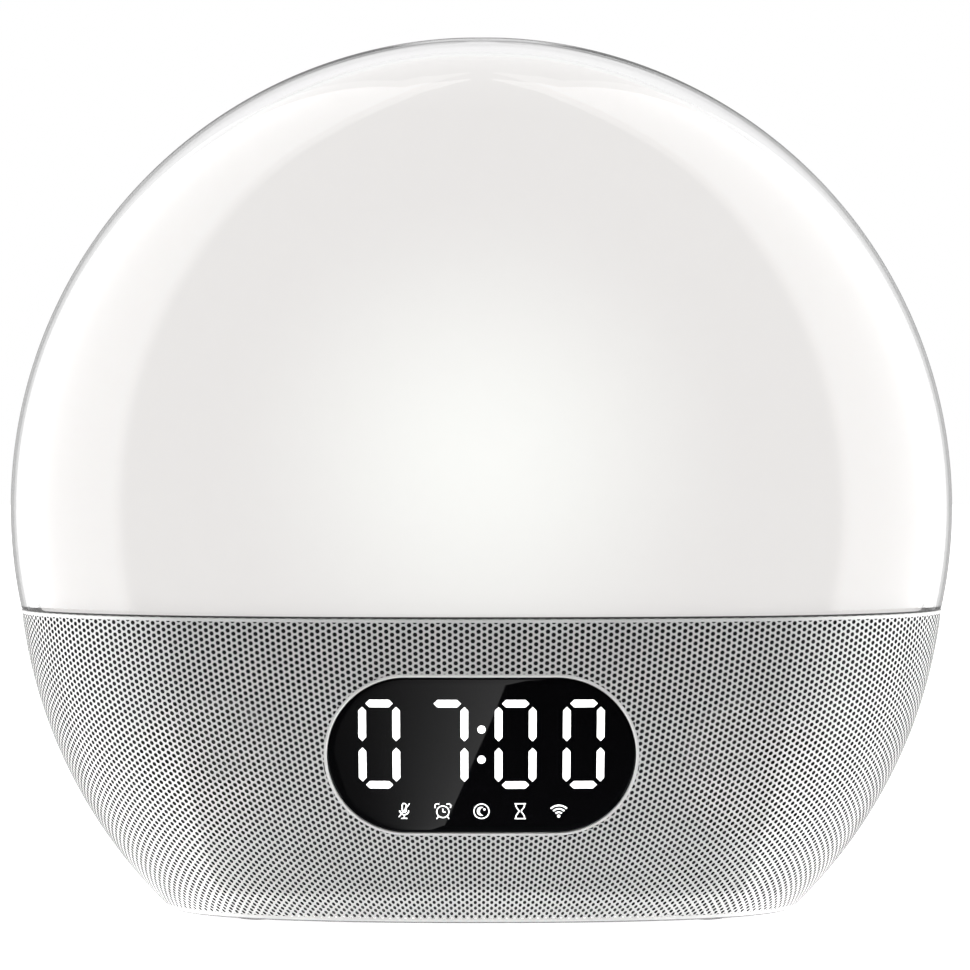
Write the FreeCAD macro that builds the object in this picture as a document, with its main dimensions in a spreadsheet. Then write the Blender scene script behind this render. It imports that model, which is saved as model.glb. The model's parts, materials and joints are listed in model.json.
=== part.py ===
"""Sunrise alarm clock: a clear dome over a milky diffuser, on a perforated metal base with a display.

+Z is up, the display faces -Y and the origin is on the table under the middle of the clock.
Lengths are millimetres.
"""
import FreeCAD, Part
import math
import os

Vector = FreeCAD.Vector

# Driving sizes. "Inset" is a distance measured inwards from the outer surface of the base.
SIZES = {
    # Outer form
    "dome_radius": 95.1,
    "dome_half_depth": 51.2,
    "dome_centre_height": 81.4,
    "seam_height": 61.4,
    "plan_fullness": 1.0,
    "base_arc_radius": 99.1,
    "base_arc_height": 72.0,
    "base_foot_half_depth": 29.0,
    "base_bulge_half_depth": 47.0,
    "foot_height": 0.8,
    # Domes and light
    "dome_wall": 3.0,
    "dome_gap": 0.8,
    "diffuser_wall": 1.6,
    "gasket_thickness": 0.6,
    "gasket_recess": 0.3,
    "gasket_overhang": 1.0,
    "tray_gap": 0.8,
    "tray_wall": 1.2,
    "tray_height": 6.0,
    "tray_flare": 3.0,
    "led_board_length": 112.0,
    "led_board_width": 42.0,
    "led_board_thickness": 1.6,
    "spreader_thickness": 1.5,
    "spreader_margin": 2.0,
    "led_size": 5.0,
    "led_height": 1.4,
    "led_pitch_long": 12.0,
    "led_pitch_wide": 13.0,
    # Shells of the base
    "grille_wall": 1.0,
    "grille_lip": 4.0,
    "grille_gap": 0.2,
    "chassis_wall": 2.0,
    "deck_thickness": 2.5,
    "cover_thickness": 2.5,
    "pillar_radius": 3.6,
    "pillar_spread_long": 24.0,
    "pillar_spread_wide": 19.0,
    "screw_radius": 1.4,
    "screw_head_radius": 2.8,
    "screw_head_height": 1.3,
    "screw_length": 9.0,
    "screw_gap": 0.1,
    "rubber_foot_radius": 5.0,
    "rubber_foot_recess": 1.0,
    "rubber_foot_end_margin": 19.4,
    "rubber_foot_side_margin": 16.0,
    # Display
    "window_width": 58.4,
    "window_height": 29.1,
    "window_centre_height": 35.3,
    "window_thickness": 2.0,
    "window_gap": 0.25,
    "frame_wall": 2.0,
    "frame_flange": 3.0,
    "frame_flange_thickness": 1.5,
    "seat_gap": 0.1,
    "digit_height": 17.1,
    "digit_width": 8.15,
    "digit_pitch": 12.93,
    "digit_stroke": 1.66,
    "digit_rise": 1.94,
    "digit_depth": 0.4,
    "segment_split": 0.56,
    "colon_radius": 0.81,
    "colon_rise": 2.86,
    "display_led_size": 0.9,
    "display_led_height": 0.7,
    "microphone_radius": 2.0,
    "microphone_height": 1.5,
    "circuit_thickness": 1.6,
    # Loudspeakers
    "speaker_end_margin": 41.0,
    "speaker_height": 32.0,
    "speaker_radius": 18.5,
    "speaker_seat": 21.2,
    "speaker_flange_thickness": 1.5,
    "speaker_opening_radius": 14.5,
    "surround_radius": 12.9,
    "surround_roll": 1.2,
    "cone_depth": 6.0,
    "cone_wall": 0.5,
    "coil_radius": 5.0,
    "basket_depth": 11.5,
    "basket_wall": 1.2,
    "magnet_radius": 12.0,
    "magnet_height": 6.0,
    "speaker_screw_radius": 0.9,
    "speaker_screw_head_radius": 1.3,
    "speaker_screw_length": 4.0,
    # Main board
    "main_board_length": 84.0,
    "main_board_width": 24.0,
    "standoff_height": 4.0,
    "standoff_radius": 2.4,
    "standoff_margin": 3.5,
    "small_screw_radius": 0.9,
    "small_screw_head_radius": 1.8,
    "small_screw_head_height": 1.2,
    "small_screw_length": 4.5,
    "processor_size": 12.0,
    "processor_height": 1.4,
    "radio_length": 18.0,
    "radio_width": 14.0,
    "radio_height": 2.6,
    "capacitor_radius": 3.0,
    "capacitor_height": 9.0,
    "cell_radius": 6.25,
    "cell_height": 2.0,
    "holder_wall": 1.0,
    "ribbon_width": 10.0,
    "ribbon_thickness": 0.3,
    "connector_depth": 3.0,
    # Rear panel
    "panel_width": 76.0,
    "panel_height": 32.0,
    "panel_centre_height": 33.0,
    "panel_wall": 2.2,
    "button_radius": 4.2,
    "button_pitch": 12.0,
    "button_rise": 6.0,
    "button_stand": 0.8,
    "button_travel": 0.8,
    "button_gap": 0.25,
    "button_flange": 1.2,
    "button_seat_gap": 0.3,
    "stem_radius": 1.5,
    "switch_size": 6.0,
    "switch_height": 3.5,
    "plunger_radius": 1.7,
    "plunger_height": 0.8,
    "press_gap": 0.15,
    "inlet_drop": 9.0,
    "inlet_width": 8.94,
    "inlet_height": 3.26,
    "inlet_wall": 0.3,
    "inlet_gap": 0.2,
    "inlet_recess": 0.6,
    "tongue_width": 6.7,
    "tongue_thickness": 0.7,
    "rear_board_length": 56.0,
    "rear_board_height": 24.8,
    "rear_post_radius": 2.2,
    "rear_post_offset": 19.0,
}

BUTTONS = ["light_button", "alarm_button", "sound_button", "volume_down_button", "volume_up_button"]
LED_COLUMNS = 9
LED_ROWS = 3
REACH = 200.0

doc = FreeCAD.newDocument("sunrise_alarm_clock")
size = doc.addObject("Spreadsheet::Sheet", "size")
place = doc.addObject("App::VarSet", "place")
pieces = []


def fill_sheet():
    """One row for each driving size: its name, and its value under an alias."""
    for row, (alias, value) in enumerate(SIZES.items(), start=1):
        size.set("A%d" % row, alias)
        size.set("B%d" % row, str(value))
        size.setAlias("B%d" % row, alias)
    doc.recompute()


def derive(name, expression):
    """A place that follows from the driving sizes."""
    place.addProperty("App::PropertyFloat", name, "places")
    place.setExpression(name, expression)
    doc.recompute()


def measure(name, value):
    """A place that is read off the outer form."""
    place.addProperty("App::PropertyFloat", name, "places")
    setattr(place, name, value)


def piece(shape, name):
    """Names an object as one sub-part of the clock."""
    shape.Label = name
    pieces.append(shape)
    return shape


def both_ways(half):
    return "-(%s)" % half, half


def block(name, x, y, z):
    """A box between the low and high value given for each axis."""
    box = doc.addObject("Part::Box", name)
    for axis, side, (low, high) in zip("xyz", ("Length", "Width", "Height"), (x, y, z)):
        box.setExpression(side, "(%s) - (%s)" % (high, low))
        box.setExpression("Placement.Base." + axis, low)
    return box


def rod(name, radius, along, span, across):
    """A cylinder along one axis, from span[0] to span[1], at the two other coordinates."""
    cylinder = doc.addObject("Part::Cylinder", name)
    aim(cylinder, along, span[0], across)
    cylinder.setExpression("Radius", radius)
    cylinder.setExpression("Height", "(%s) - (%s)" % (span[1], span[0]))
    return cylinder


def taper(name, radii, along, span, across):
    """A cone along one axis, with its first radius at span[0]."""
    cone = doc.addObject("Part::Cone", name)
    aim(cone, along, span[0], across)
    cone.setExpression("Radius1", radii[0])
    cone.setExpression("Radius2", radii[1])
    cone.setExpression("Height", "(%s) - (%s)" % (span[1], span[0]))
    return cone


def aim(primitive, along, start, across):
    """Turns a primitive's own +Z to the named axis and binds its place."""
    turns = {"x": (Vector(0, 1, 0), 90), "y": (Vector(1, 0, 0), -90), "z": (Vector(0, 0, 1), 0)}
    primitive.Placement = FreeCAD.Placement(Vector(), FreeCAD.Rotation(*turns[along]))
    others = iter(across)
    for axis in "xyz":
        primitive.setExpression("Placement.Base." + axis, start if axis == along else next(others))


def fuse(name, shapes):
    union = doc.addObject("Part::MultiFuse", name)
    union.Shapes = shapes
    return union


def cut(name, base, tools):
    """The base with each tool taken away, in one boolean."""
    difference = doc.addObject("Part::Cut", name)
    difference.Base = base
    difference.Tool = tools[0] if len(tools) == 1 else fuse(name + "_tools", tools)
    return difference


def common(name, shapes):
    overlap = doc.addObject("Part::MultiCommon", name)
    overlap.Shapes = shapes
    return overlap


def group(name, shapes):
    """Alike pieces that share one node and stay separate solids."""
    compound = doc.addObject("Part::Compound", name)
    compound.Links = shapes
    return piece(compound, name)


def mirrored(name, source):
    """The right-hand twin of a left-hand piece."""
    twin = doc.addObject("Part::Mirroring", name)
    twin.Source = source
    twin.Normal = Vector(1, 0, 0)
    return piece(twin, name)


def stadium(name, width, height, centre, span):
    """A bar along Y with a round-ended section; centre is (x, z) and span is (low y, high y)."""
    x, z = centre
    radius = "(%s) / 2" % height
    reach = "((%s) - (%s)) / 2" % (width, height)
    middle = block(
        name + "_middle",
        ("(%s) - (%s)" % (x, reach), "(%s) + (%s)" % (x, reach)),
        span,
        ("(%s) - (%s)" % (z, radius), "(%s) + (%s)" % (z, radius)),
    )
    ends = []
    for side, sign in (("left", "-"), ("right", "+")):
        ends.append(rod("%s_%s" % (name, side), radius, "y", span, ("(%s) %s (%s)" % (x, sign, reach), z)))
    return fuse(name, [middle] + ends)


def oval_solid(profile):
    """A solid whose plan is the same full oval at every height.

    profile holds the three control points of one arc, as (half width, half depth, height, weight).
    Each quarter of the oval is one conic arc between its tangents, and plan_fullness is the weight of
    the corner where they meet: 0.71 would give an ellipse.
    """
    corner = size.plan_fullness
    compass = [(1, 0), (1, 1), (0, 1), (-1, 1), (-1, 0), (-1, -1), (0, -1), (1, -1), (1, 0)]
    faces = []
    for start in range(0, 8, 2):
        poles = []
        weights = []
        for (across, along), plan_weight in zip(compass[start:start + 3], (1.0, corner, 1.0)):
            poles.append([Vector(across * wide, along * deep, up) for wide, deep, up, _ in profile])
            weights.append([plan_weight * arc_weight for _, _, _, arc_weight in profile])
        quarter = Part.BSplineSurface()
        quarter.buildFromPolesMultsKnots(poles, [3, 3], [3, 3], [0, 1], [0, 1], False, False, 2, 2, weights)
        faces.append(quarter.toShape())
    for end in (0, -1):
        if profile[end][0] > 0:
            rim = [edge for face in faces for edge in face.Edges if level(edge, profile[end][2])]
            faces.append(Part.Face(Part.Wire(Part.__sortEdges__(rim))))
    shell = Part.makeShell(faces)
    shell.sewShape()
    solid = Part.makeSolid(shell)
    if solid.Volume < 0:
        solid.reverse()
    return solid


def level(edge, height):
    """Whether an edge lies wholly in the level plane at this height."""
    bounds = edge.BoundBox
    return abs(bounds.ZMin - height) < 1e-6 and abs(bounds.ZMax - height) < 1e-6


def dome_profile(inset):
    """The dome's arc from the seam to the crown, drawn in by the inset."""
    radius = size.dome_radius - inset
    depth = size.dome_half_depth - inset
    start = math.asin((size.seam_height - size.dome_centre_height) / radius)
    half = (math.pi / 2 - start) / 2
    crown = size.dome_centre_height + radius
    return [
        (radius * math.cos(start), depth * math.cos(start), size.seam_height, 1.0),
        (radius * math.tan(half), depth * math.tan(half), crown, math.cos(half)),
        (0.0, 0.0, crown, 1.0),
    ]


def base_profile(inset):
    """The base's arc from the table end up to the seam, where it meets the dome's lower edge."""
    seam_width, seam_depth, seam, _ = dome_profile(0)[0]
    radius = size.base_arc_radius
    centre = size.base_arc_height
    start = math.asin((size.foot_height - centre) / radius)
    end = math.asin((seam - centre) / radius)
    half = (end - start) / 2
    middle = (end + start) / 2
    offset = radius * math.cos(end) - seam_width
    reach = radius / math.cos(half)
    return [
        (radius * math.cos(start) - offset - inset, size.base_foot_half_depth - inset, size.foot_height, 1.0),
        (
            reach * math.cos(middle) - offset - inset,
            size.base_bulge_half_depth - inset,
            centre + reach * math.sin(middle),
            math.cos(half),
        ),
        (seam_width - inset, seam_depth - inset, seam, 1.0),
    ]


def arc_point(points, along):
    """A point of the conic arc through three control points whose last value is their weight."""
    shares = [(1 - along) ** 2, 2 * along * (1 - along), along ** 2]
    shares = [share * point[-1] for share, point in zip(shares, points)]
    return [sum(share * value for share, value in zip(shares, values)) / sum(shares) for values in zip(*points)]


def arc_place(points, index, wanted):
    """The point of the arc at which the value with this index, which rises along it, has the wanted size."""
    low = 0.0
    high = 1.0
    for _ in range(60):
        along = (low + high) / 2
        if arc_point(points, along)[index] < wanted:
            low = along
        else:
            high = along
    return arc_point(points, along)


def depth_at(height, across, inset):
    """How far the base's surface, drawn in by the inset, lies from the middle plane at x = across."""
    wide, deep = arc_place(base_profile(inset), 2, height)[:2]
    plan = [(0.0, 1.0, 1.0), (1.0, 1.0, size.plan_fullness), (1.0, 0.0, 1.0)]
    return deep * arc_place(plan, 0, across / wide)[1]


def form(name, profile):
    """An outer form or an inset copy of it, for the shells to be cut from."""
    solid = doc.addObject("Part::Feature", name)
    solid.Shape = oval_solid(profile)
    return solid


def base_form(name, inset):
    """The base's form drawn in by a named inset; the inset is an expression."""
    return form(name, base_profile(place.evalExpression(inset)))


def slab(name, low, high):
    return block(name, both_ways(str(REACH)), both_ways(str(REACH)), (low, high))


def add_places():
    derive("crown", "size.dome_centre_height + size.dome_radius")
    derive("diffuser_inset", "size.dome_wall + size.dome_gap")
    derive("gasket_inner", "place.diffuser_inset + size.diffuser_wall + size.gasket_overhang")
    derive("deck_top", "size.seam_height - size.gasket_thickness")
    derive("deck_bottom", "place.deck_top - size.deck_thickness")
    derive("cover_bottom", "size.foot_height + size.grille_wall")
    derive("cover_top", "place.cover_bottom + size.cover_thickness")
    derive("chassis_inset", "size.grille_wall + size.grille_gap")
    derive("cavity_inset", "place.chassis_inset + size.chassis_wall")
    derive("seat_inset", "place.cavity_inset + size.seat_gap")
    derive("flange_inset", "place.seat_inset + size.frame_flange_thickness")
    derive("window_bottom", "size.window_centre_height - size.window_height / 2")
    derive("panel_bottom", "size.panel_centre_height - size.panel_height / 2")
    derive("digit_centre", "size.window_centre_height + size.digit_rise")
    derive("button_height", "size.panel_centre_height + size.button_rise")
    derive("inlet_centre", "size.panel_centre_height - size.inlet_drop")
    derive("main_board_bottom", "place.cover_top + size.standoff_height")
    derive("main_board_top", "place.main_board_bottom + size.circuit_thickness")
    measure("foot_half_width", base_profile(0)[0][0])
    measure("seam_half_width", dome_profile(0)[0][0])
    derive("speaker_offset", "place.seam_half_width - size.speaker_end_margin")
    measure("display_plane", depth_at(place.window_bottom, size.window_width / 2, place.flange_inset))
    measure("rear_plane", depth_at(place.panel_bottom, 0.0, place.flange_inset))


def make_domes():
    """The clear dome, the milky diffuser inside it and the gasket that both stand on."""
    outside = form("dome_outside", dome_profile(0))
    inside = form("dome_inside", dome_profile(size.dome_wall))
    piece(cut("outer_dome", outside, [inside]), "outer_dome")
    milk_outside = form("diffuser_outside", dome_profile(place.diffuser_inset))
    milk_inside = form("diffuser_inside", dome_profile(place.diffuser_inset + size.diffuser_wall))
    piece(cut("diffuser_dome", milk_outside, [milk_inside]), "diffuser_dome")
    rim = common("gasket_blank", [
        base_form("gasket_outside", "size.gasket_recess"),
        slab("gasket_slab", "place.deck_top", "size.seam_height"),
    ])
    piece(cut("dome_gasket", rim, [base_form("gasket_inside", "place.gasket_inner")]), "dome_gasket")


def make_light():
    """Heat spreader, LED board and emitters on the deck, with a white tray round them."""
    spreader_top = "place.deck_top + size.spreader_thickness"
    board_top = "place.deck_top + size.spreader_thickness + size.led_board_thickness"
    half_length = "size.led_board_length / 2"
    half_width = "size.led_board_width / 2"
    margin = "size.spreader_margin"
    piece(block(
        "heat_spreader",
        both_ways("%s + %s" % (half_length, margin)),
        both_ways("%s + %s" % (half_width, margin)),
        ("place.deck_top", spreader_top),
    ), "heat_spreader")
    piece(block("led_board", both_ways(half_length), both_ways(half_width), (spreader_top, board_top)), "led_board")
    emitters = []
    for column in range(LED_COLUMNS):
        for row in range(LED_ROWS):
            x = "%g * size.led_pitch_long" % (column - (LED_COLUMNS - 1) / 2)
            y = "%g * size.led_pitch_wide" % (row - (LED_ROWS - 1) / 2)
            emitters.append(block(
                "led_%d_%d" % (column, row),
                ("%s - size.led_size / 2" % x, "%s + size.led_size / 2" % x),
                ("%s - size.led_size / 2" % y, "%s + size.led_size / 2" % y),
                (board_top, "%s + size.led_height" % board_top),
            ))
    group("led_emitters", emitters)
    wide, deep, _, _ = dome_profile(place.gasket_inner + size.tray_gap)[0]
    flare = size.tray_flare
    floor = place.deck_top
    top = floor + size.tray_height
    outside = form("tray_outside", straight_profile(wide, deep, floor, wide, deep, top))
    hollow = form("tray_hollow", straight_profile(
        wide - flare - size.tray_wall, deep - flare - size.tray_wall, floor + size.tray_wall,
        wide - size.tray_wall, deep - size.tray_wall, top,
    ))
    opening = block(
        "tray_opening",
        both_ways("%s + %s + size.tray_gap" % (half_length, margin)),
        both_ways("%s + %s + size.tray_gap" % (half_width, margin)),
        ("place.deck_top", "place.deck_top + size.tray_height"),
    )
    piece(cut("reflector_tray", outside, [hollow, opening]), "reflector_tray")


def straight_profile(low_wide, low_deep, low, high_wide, high_deep, high):
    """Straight sides between two ovals."""
    return [
        (low_wide, low_deep, low, 1.0),
        ((low_wide + high_wide) / 2, (low_deep + high_deep) / 2, (low + high) / 2, 1.0),
        (high_wide, high_deep, high, 1.0),
    ]


def window_bar(name, margin, inner_end="0"):
    """A bar through the front wall with the display window's outline, grown by a margin."""
    return stadium(
        name, "size.window_width + 2 * (%s)" % margin, "size.window_height + 2 * (%s)" % margin,
        ("0", "size.window_centre_height"), (str(-REACH), inner_end),
    )


def panel_bar(name, margin, inner_end="0"):
    """A bar through the rear wall with the rear panel's outline, grown by a margin."""
    return stadium(
        name, "size.panel_width + 2 * (%s)" % margin, "size.panel_height + 2 * (%s)" % margin,
        ("0", "size.panel_centre_height"), (inner_end, str(REACH)),
    )


def make_grille(outside, openings):
    """The metal skin of the base, with a lip rolled in under the bottom cover."""
    hollow = common("grille_hollow", [
        base_form("grille_inside", "size.grille_wall"),
        slab("grille_hollow_slab", "place.cover_bottom", "size.seam_height"),
    ])
    lip = base_form("grille_lip_edge", "size.grille_lip")
    above = slab("grille_top_slab", "place.deck_top", "size.seam_height")
    piece(cut("grille_shell", outside, [hollow, lip, above] + openings), "grille_shell")


def corner_rods(name, radius, spread, span):
    """Four upright rods at the corners of a rectangle, given its half length and half width."""
    rods = []
    for column, x in enumerate(both_ways(spread[0])):
        for row, y in enumerate(both_ways(spread[1])):
            rods.append(rod("%s_%d%d" % (name, column, row), radius, "z", span, (x, y)))
    return rods


def screws(name, radius, head_radius, spread, seat, head_top, tip):
    """Four upright screws; the head lies between seat and head_top and the shank runs to the tip."""
    heads = corner_rods(name + "_head", head_radius, spread, in_order(seat, head_top))
    shanks = corner_rods(name + "_shank", radius, spread, in_order(seat, tip))
    return [fuse("%s_%d" % (name, index), list(pair)) for index, pair in enumerate(zip(heads, shanks))]


def in_order(one, other):
    """Two heights as a span, the lower one first."""
    if place.evalExpression(one) < place.evalExpression(other):
        return one, other
    return other, one


PILLARS = ("size.pillar_spread_long", "size.pillar_spread_wide")
STANDOFFS = (
    "size.main_board_length / 2 - size.standoff_margin",
    "size.main_board_width / 2 - size.standoff_margin",
)
FEET = (
    "place.foot_half_width - size.rubber_foot_end_margin",
    "size.base_foot_half_depth - size.rubber_foot_side_margin",
)


def make_chassis(openings):
    """The moulded housing behind the grille: walls, a closed deck, screw pillars and speaker seats."""
    outside = common("chassis_blank", [
        base_form("chassis_outside", "place.chassis_inset"),
        slab("chassis_slab", "place.cover_top", "place.deck_top"),
    ])
    cavity = common("chassis_cavity", [
        base_form("chassis_inside", "place.cavity_inset"),
        slab("cavity_slab", "place.cover_top", "place.deck_bottom"),
    ])
    walls = cut("chassis_walls", outside, [cavity])
    pillars = corner_rods("pillar", "size.pillar_radius", PILLARS, ("place.cover_top", "place.deck_bottom"))
    seats = []
    bores = []
    for side, x in zip(("left", "right"), both_ways("place.speaker_offset")):
        bar = rod(
            "speaker_seat_bar_" + side, "size.speaker_radius", "y",
            (str(-REACH), "-size.speaker_seat"), (x, "size.speaker_height"),
        )
        seats.append(common("speaker_seat_" + side, [bar, base_form("seat_limit_" + side, "place.chassis_inset")]))
        bores.append(rod(
            "speaker_bore_" + side, "size.speaker_opening_radius", "y",
            (str(-REACH), "-size.speaker_seat"), (x, "size.speaker_height"),
        ))
        bores += speaker_screw_rods(
            "speaker_pilot_" + side, "size.speaker_screw_radius + size.screw_gap", x,
            ("-size.speaker_seat - size.speaker_screw_length", "-size.speaker_seat"),
        )
    pilots = corner_rods(
        "pillar_pilot", "size.screw_radius + size.screw_gap", PILLARS,
        ("place.cover_top", "place.cover_top + size.screw_length"),
    )
    cable_way = block(
        "cable_way", both_ways("size.ribbon_width / 2"), both_ways("size.connector_depth / 2"),
        ("place.deck_bottom", "place.deck_top"),
    )
    solid = fuse("chassis_solid", [walls] + pillars + seats)
    piece(cut("base_chassis", solid, bores + pilots + [cable_way] + openings), "base_chassis")


def make_bottom():
    """Bottom cover with standoffs, its screws and the rubber feet."""
    plate = common("cover_blank", [
        base_form("cover_outside", "place.chassis_inset"),
        slab("cover_slab", "place.cover_bottom", "place.cover_top"),
    ])
    standoffs = corner_rods(
        "standoff", "size.standoff_radius", STANDOFFS, ("place.cover_top", "place.main_board_bottom"),
    )
    body = fuse("cover_solid", [plate] + standoffs)
    head_room = "place.cover_bottom + size.screw_head_height"
    counterbores = corner_rods(
        "counterbore", "size.screw_head_radius + size.screw_gap", PILLARS, ("place.cover_bottom", head_room),
    )
    clearances = corner_rods(
        "cover_hole", "size.screw_radius + size.screw_gap", PILLARS, ("place.cover_bottom", "place.cover_top"),
    )
    recess_top = "place.cover_bottom + size.rubber_foot_recess"
    recesses = corner_rods(
        "foot_recess", "size.rubber_foot_radius + size.screw_gap", FEET, ("place.cover_bottom", recess_top),
    )
    pilots = corner_rods(
        "standoff_pilot", "size.small_screw_radius + size.screw_gap", STANDOFFS,
        ("place.main_board_top - size.small_screw_length", "place.main_board_bottom"),
    )
    piece(cut("bottom_cover", body, counterbores + clearances + recesses + pilots), "bottom_cover")
    group("rubber_feet", corner_rods("rubber_foot", "size.rubber_foot_radius", FEET, ("0", recess_top)))
    group("bottom_screws", screws(
        "bottom_screw", "size.screw_radius", "size.screw_head_radius", PILLARS,
        head_room, "place.cover_bottom", "%s + size.screw_length" % head_room,
    ))


def segment_shape(centre, length, upright):
    """One display segment: a bar with a point at each end, in the XZ plane at y = 0."""
    half = length / 2
    stroke = size.digit_stroke / 2
    outline = [(-half, 0), (-half + stroke, stroke), (half - stroke, stroke), (half, 0),
               (half - stroke, -stroke), (-half + stroke, -stroke), (-half, 0)]
    corners = []
    for along, across in outline:
        x, z = (across, along) if upright else (along, across)
        corners.append(Vector(centre[0] + x, 0, centre[1] + z))
    return Part.Face(Part.makePolygon(corners))


def segment_faces(lit):
    """The faces of the segments of each digit that its string names, with the colon's two dots.

    The segments are lettered a to g, clockwise from the top one, with g in the middle.
    """
    wide = (size.digit_width - size.digit_stroke) / 2
    tall = (size.digit_height - size.digit_stroke) / 2
    split = size.segment_split
    across = 2 * wide - split
    upright = tall - split
    layout = {
        "a": ((0, tall), across, False), "b": ((wide, tall / 2), upright, True),
        "c": ((wide, -tall / 2), upright, True), "d": ((0, -tall), across, False),
        "e": ((-wide, -tall / 2), upright, True), "f": ((-wide, tall / 2), upright, True),
        "g": ((0, 0), across, False),
    }
    faces = []
    for index, letters in enumerate(lit):
        x = (index - (len(lit) - 1) / 2) * size.digit_pitch
        for letter in letters:
            (right, up), length, is_upright = layout[letter]
            faces.append(segment_shape((x + right, place.digit_centre + up), length, is_upright))
    for rise in (-size.colon_rise, size.colon_rise):
        dot = Part.Circle(Vector(0, 0, place.digit_centre + rise), Vector(0, 1, 0), size.colon_radius)
        faces.append(Part.Face(Part.Wire(dot.toShape())))
    return faces


def segment_bars(name, lit):
    """Bars towards -Y behind each named segment, as one compound."""
    bars = doc.addObject("Part::Feature", name)
    bars.Shape = Part.makeCompound([face.extrude(Vector(0, -REACH, 0)) for face in segment_faces(lit)])
    return bars


def make_display():
    """Window with its lit digits let in flush, the frame behind it, light wells, LEDs and board."""
    outside = base_form("window_outside", "0")
    shown = segment_bars("shown_bars", ["abcdef", "abc", "abcdef", "abcdef"])
    digit_floor = base_form("digit_floor", "size.digit_depth")
    inlay = cut("digit_layer", outside, [digit_floor])
    digits = piece(common("time_digits", [inlay, shown]), "time_digits")
    glass = common("window_blank", [base_form("window_front", "0"), window_bar("window_bar", "0")])
    glass_back = base_form("window_back", "size.window_thickness")
    piece(cut("display_window", glass, [glass_back, digits]), "display_window")
    board_front = "-place.display_plane"
    ahead = block(
        "ahead_of_board", both_ways(str(REACH)), (str(-REACH), board_front), both_ways(str(REACH)),
    )
    hole = window_bar("frame_hole", "-size.frame_wall")
    sleeve_blank = common("sleeve_blank", [
        base_form("sleeve_front", "size.window_thickness + size.seat_gap"),
        window_bar("sleeve_bar", "0"), ahead,
    ])
    flange_blank = common("flange_blank", [
        base_form("flange_front", "place.seat_inset"), window_bar("flange_bar", "size.frame_flange"),
    ])
    flange = cut("display_flange", flange_blank, [base_form("flange_back", "place.flange_inset")])
    frame = fuse("frame_solid", [sleeve_blank, flange])
    piece(cut("display_frame", frame, [hole]), "display_frame")
    wells_blank = common("wells_blank", [
        base_form("wells_front", "size.window_thickness + size.seat_gap"),
        window_bar("wells_bar", "-size.frame_wall - size.seat_gap"), ahead,
    ])
    every = segment_bars("well_bars", ["abcdefg"] * 4)
    piece(cut("light_wells", wells_blank, [every]), "light_wells")
    board_back = "%s + size.circuit_thickness" % board_front
    board_top = "place.deck_bottom - size.seat_gap"
    piece(block(
        "display_board", both_ways("size.window_width / 2 - size.frame_wall / 2"),
        (board_front, board_back), ("place.window_bottom + size.frame_wall / 2", board_top),
    ), "display_board")
    lamps = []
    for index, face in enumerate(segment_faces(["abcdefg"] * 4)):
        lamp = doc.addObject("Part::Feature", "display_led_%d" % index)
        middle = face.CenterOfMass
        side = size.display_led_size
        lamp.Shape = Part.makeBox(side, size.display_led_height, side)
        lamp.Placement.Base = Vector(
            middle.x - side / 2, -place.display_plane - size.display_led_height, middle.z - side / 2,
        )
        lamps.append(lamp)
    group("display_leds", lamps)
    piece(rod(
        "microphone", "size.microphone_radius", "y",
        ("%s - size.microphone_height" % board_front, board_front),
        ("0", "%s - size.microphone_radius - size.seat_gap" % board_top),
    ), "microphone")


def speaker_screw_rods(name, radius, x, span):
    """Four rods along Y, evenly round the speaker flange."""
    rods = []
    reach = "(size.speaker_radius - size.speaker_screw_head_radius - size.seat_gap)"
    for index, angle in enumerate((45, 135, 225, 315)):
        rods.append(rod("%s_%d" % (name, index), radius, "y", span, (
            "%s + cos(%d) * %s" % (x, angle, reach),
            "size.speaker_height + sin(%d) * %s" % (angle, reach),
        )))
    return rods


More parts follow.
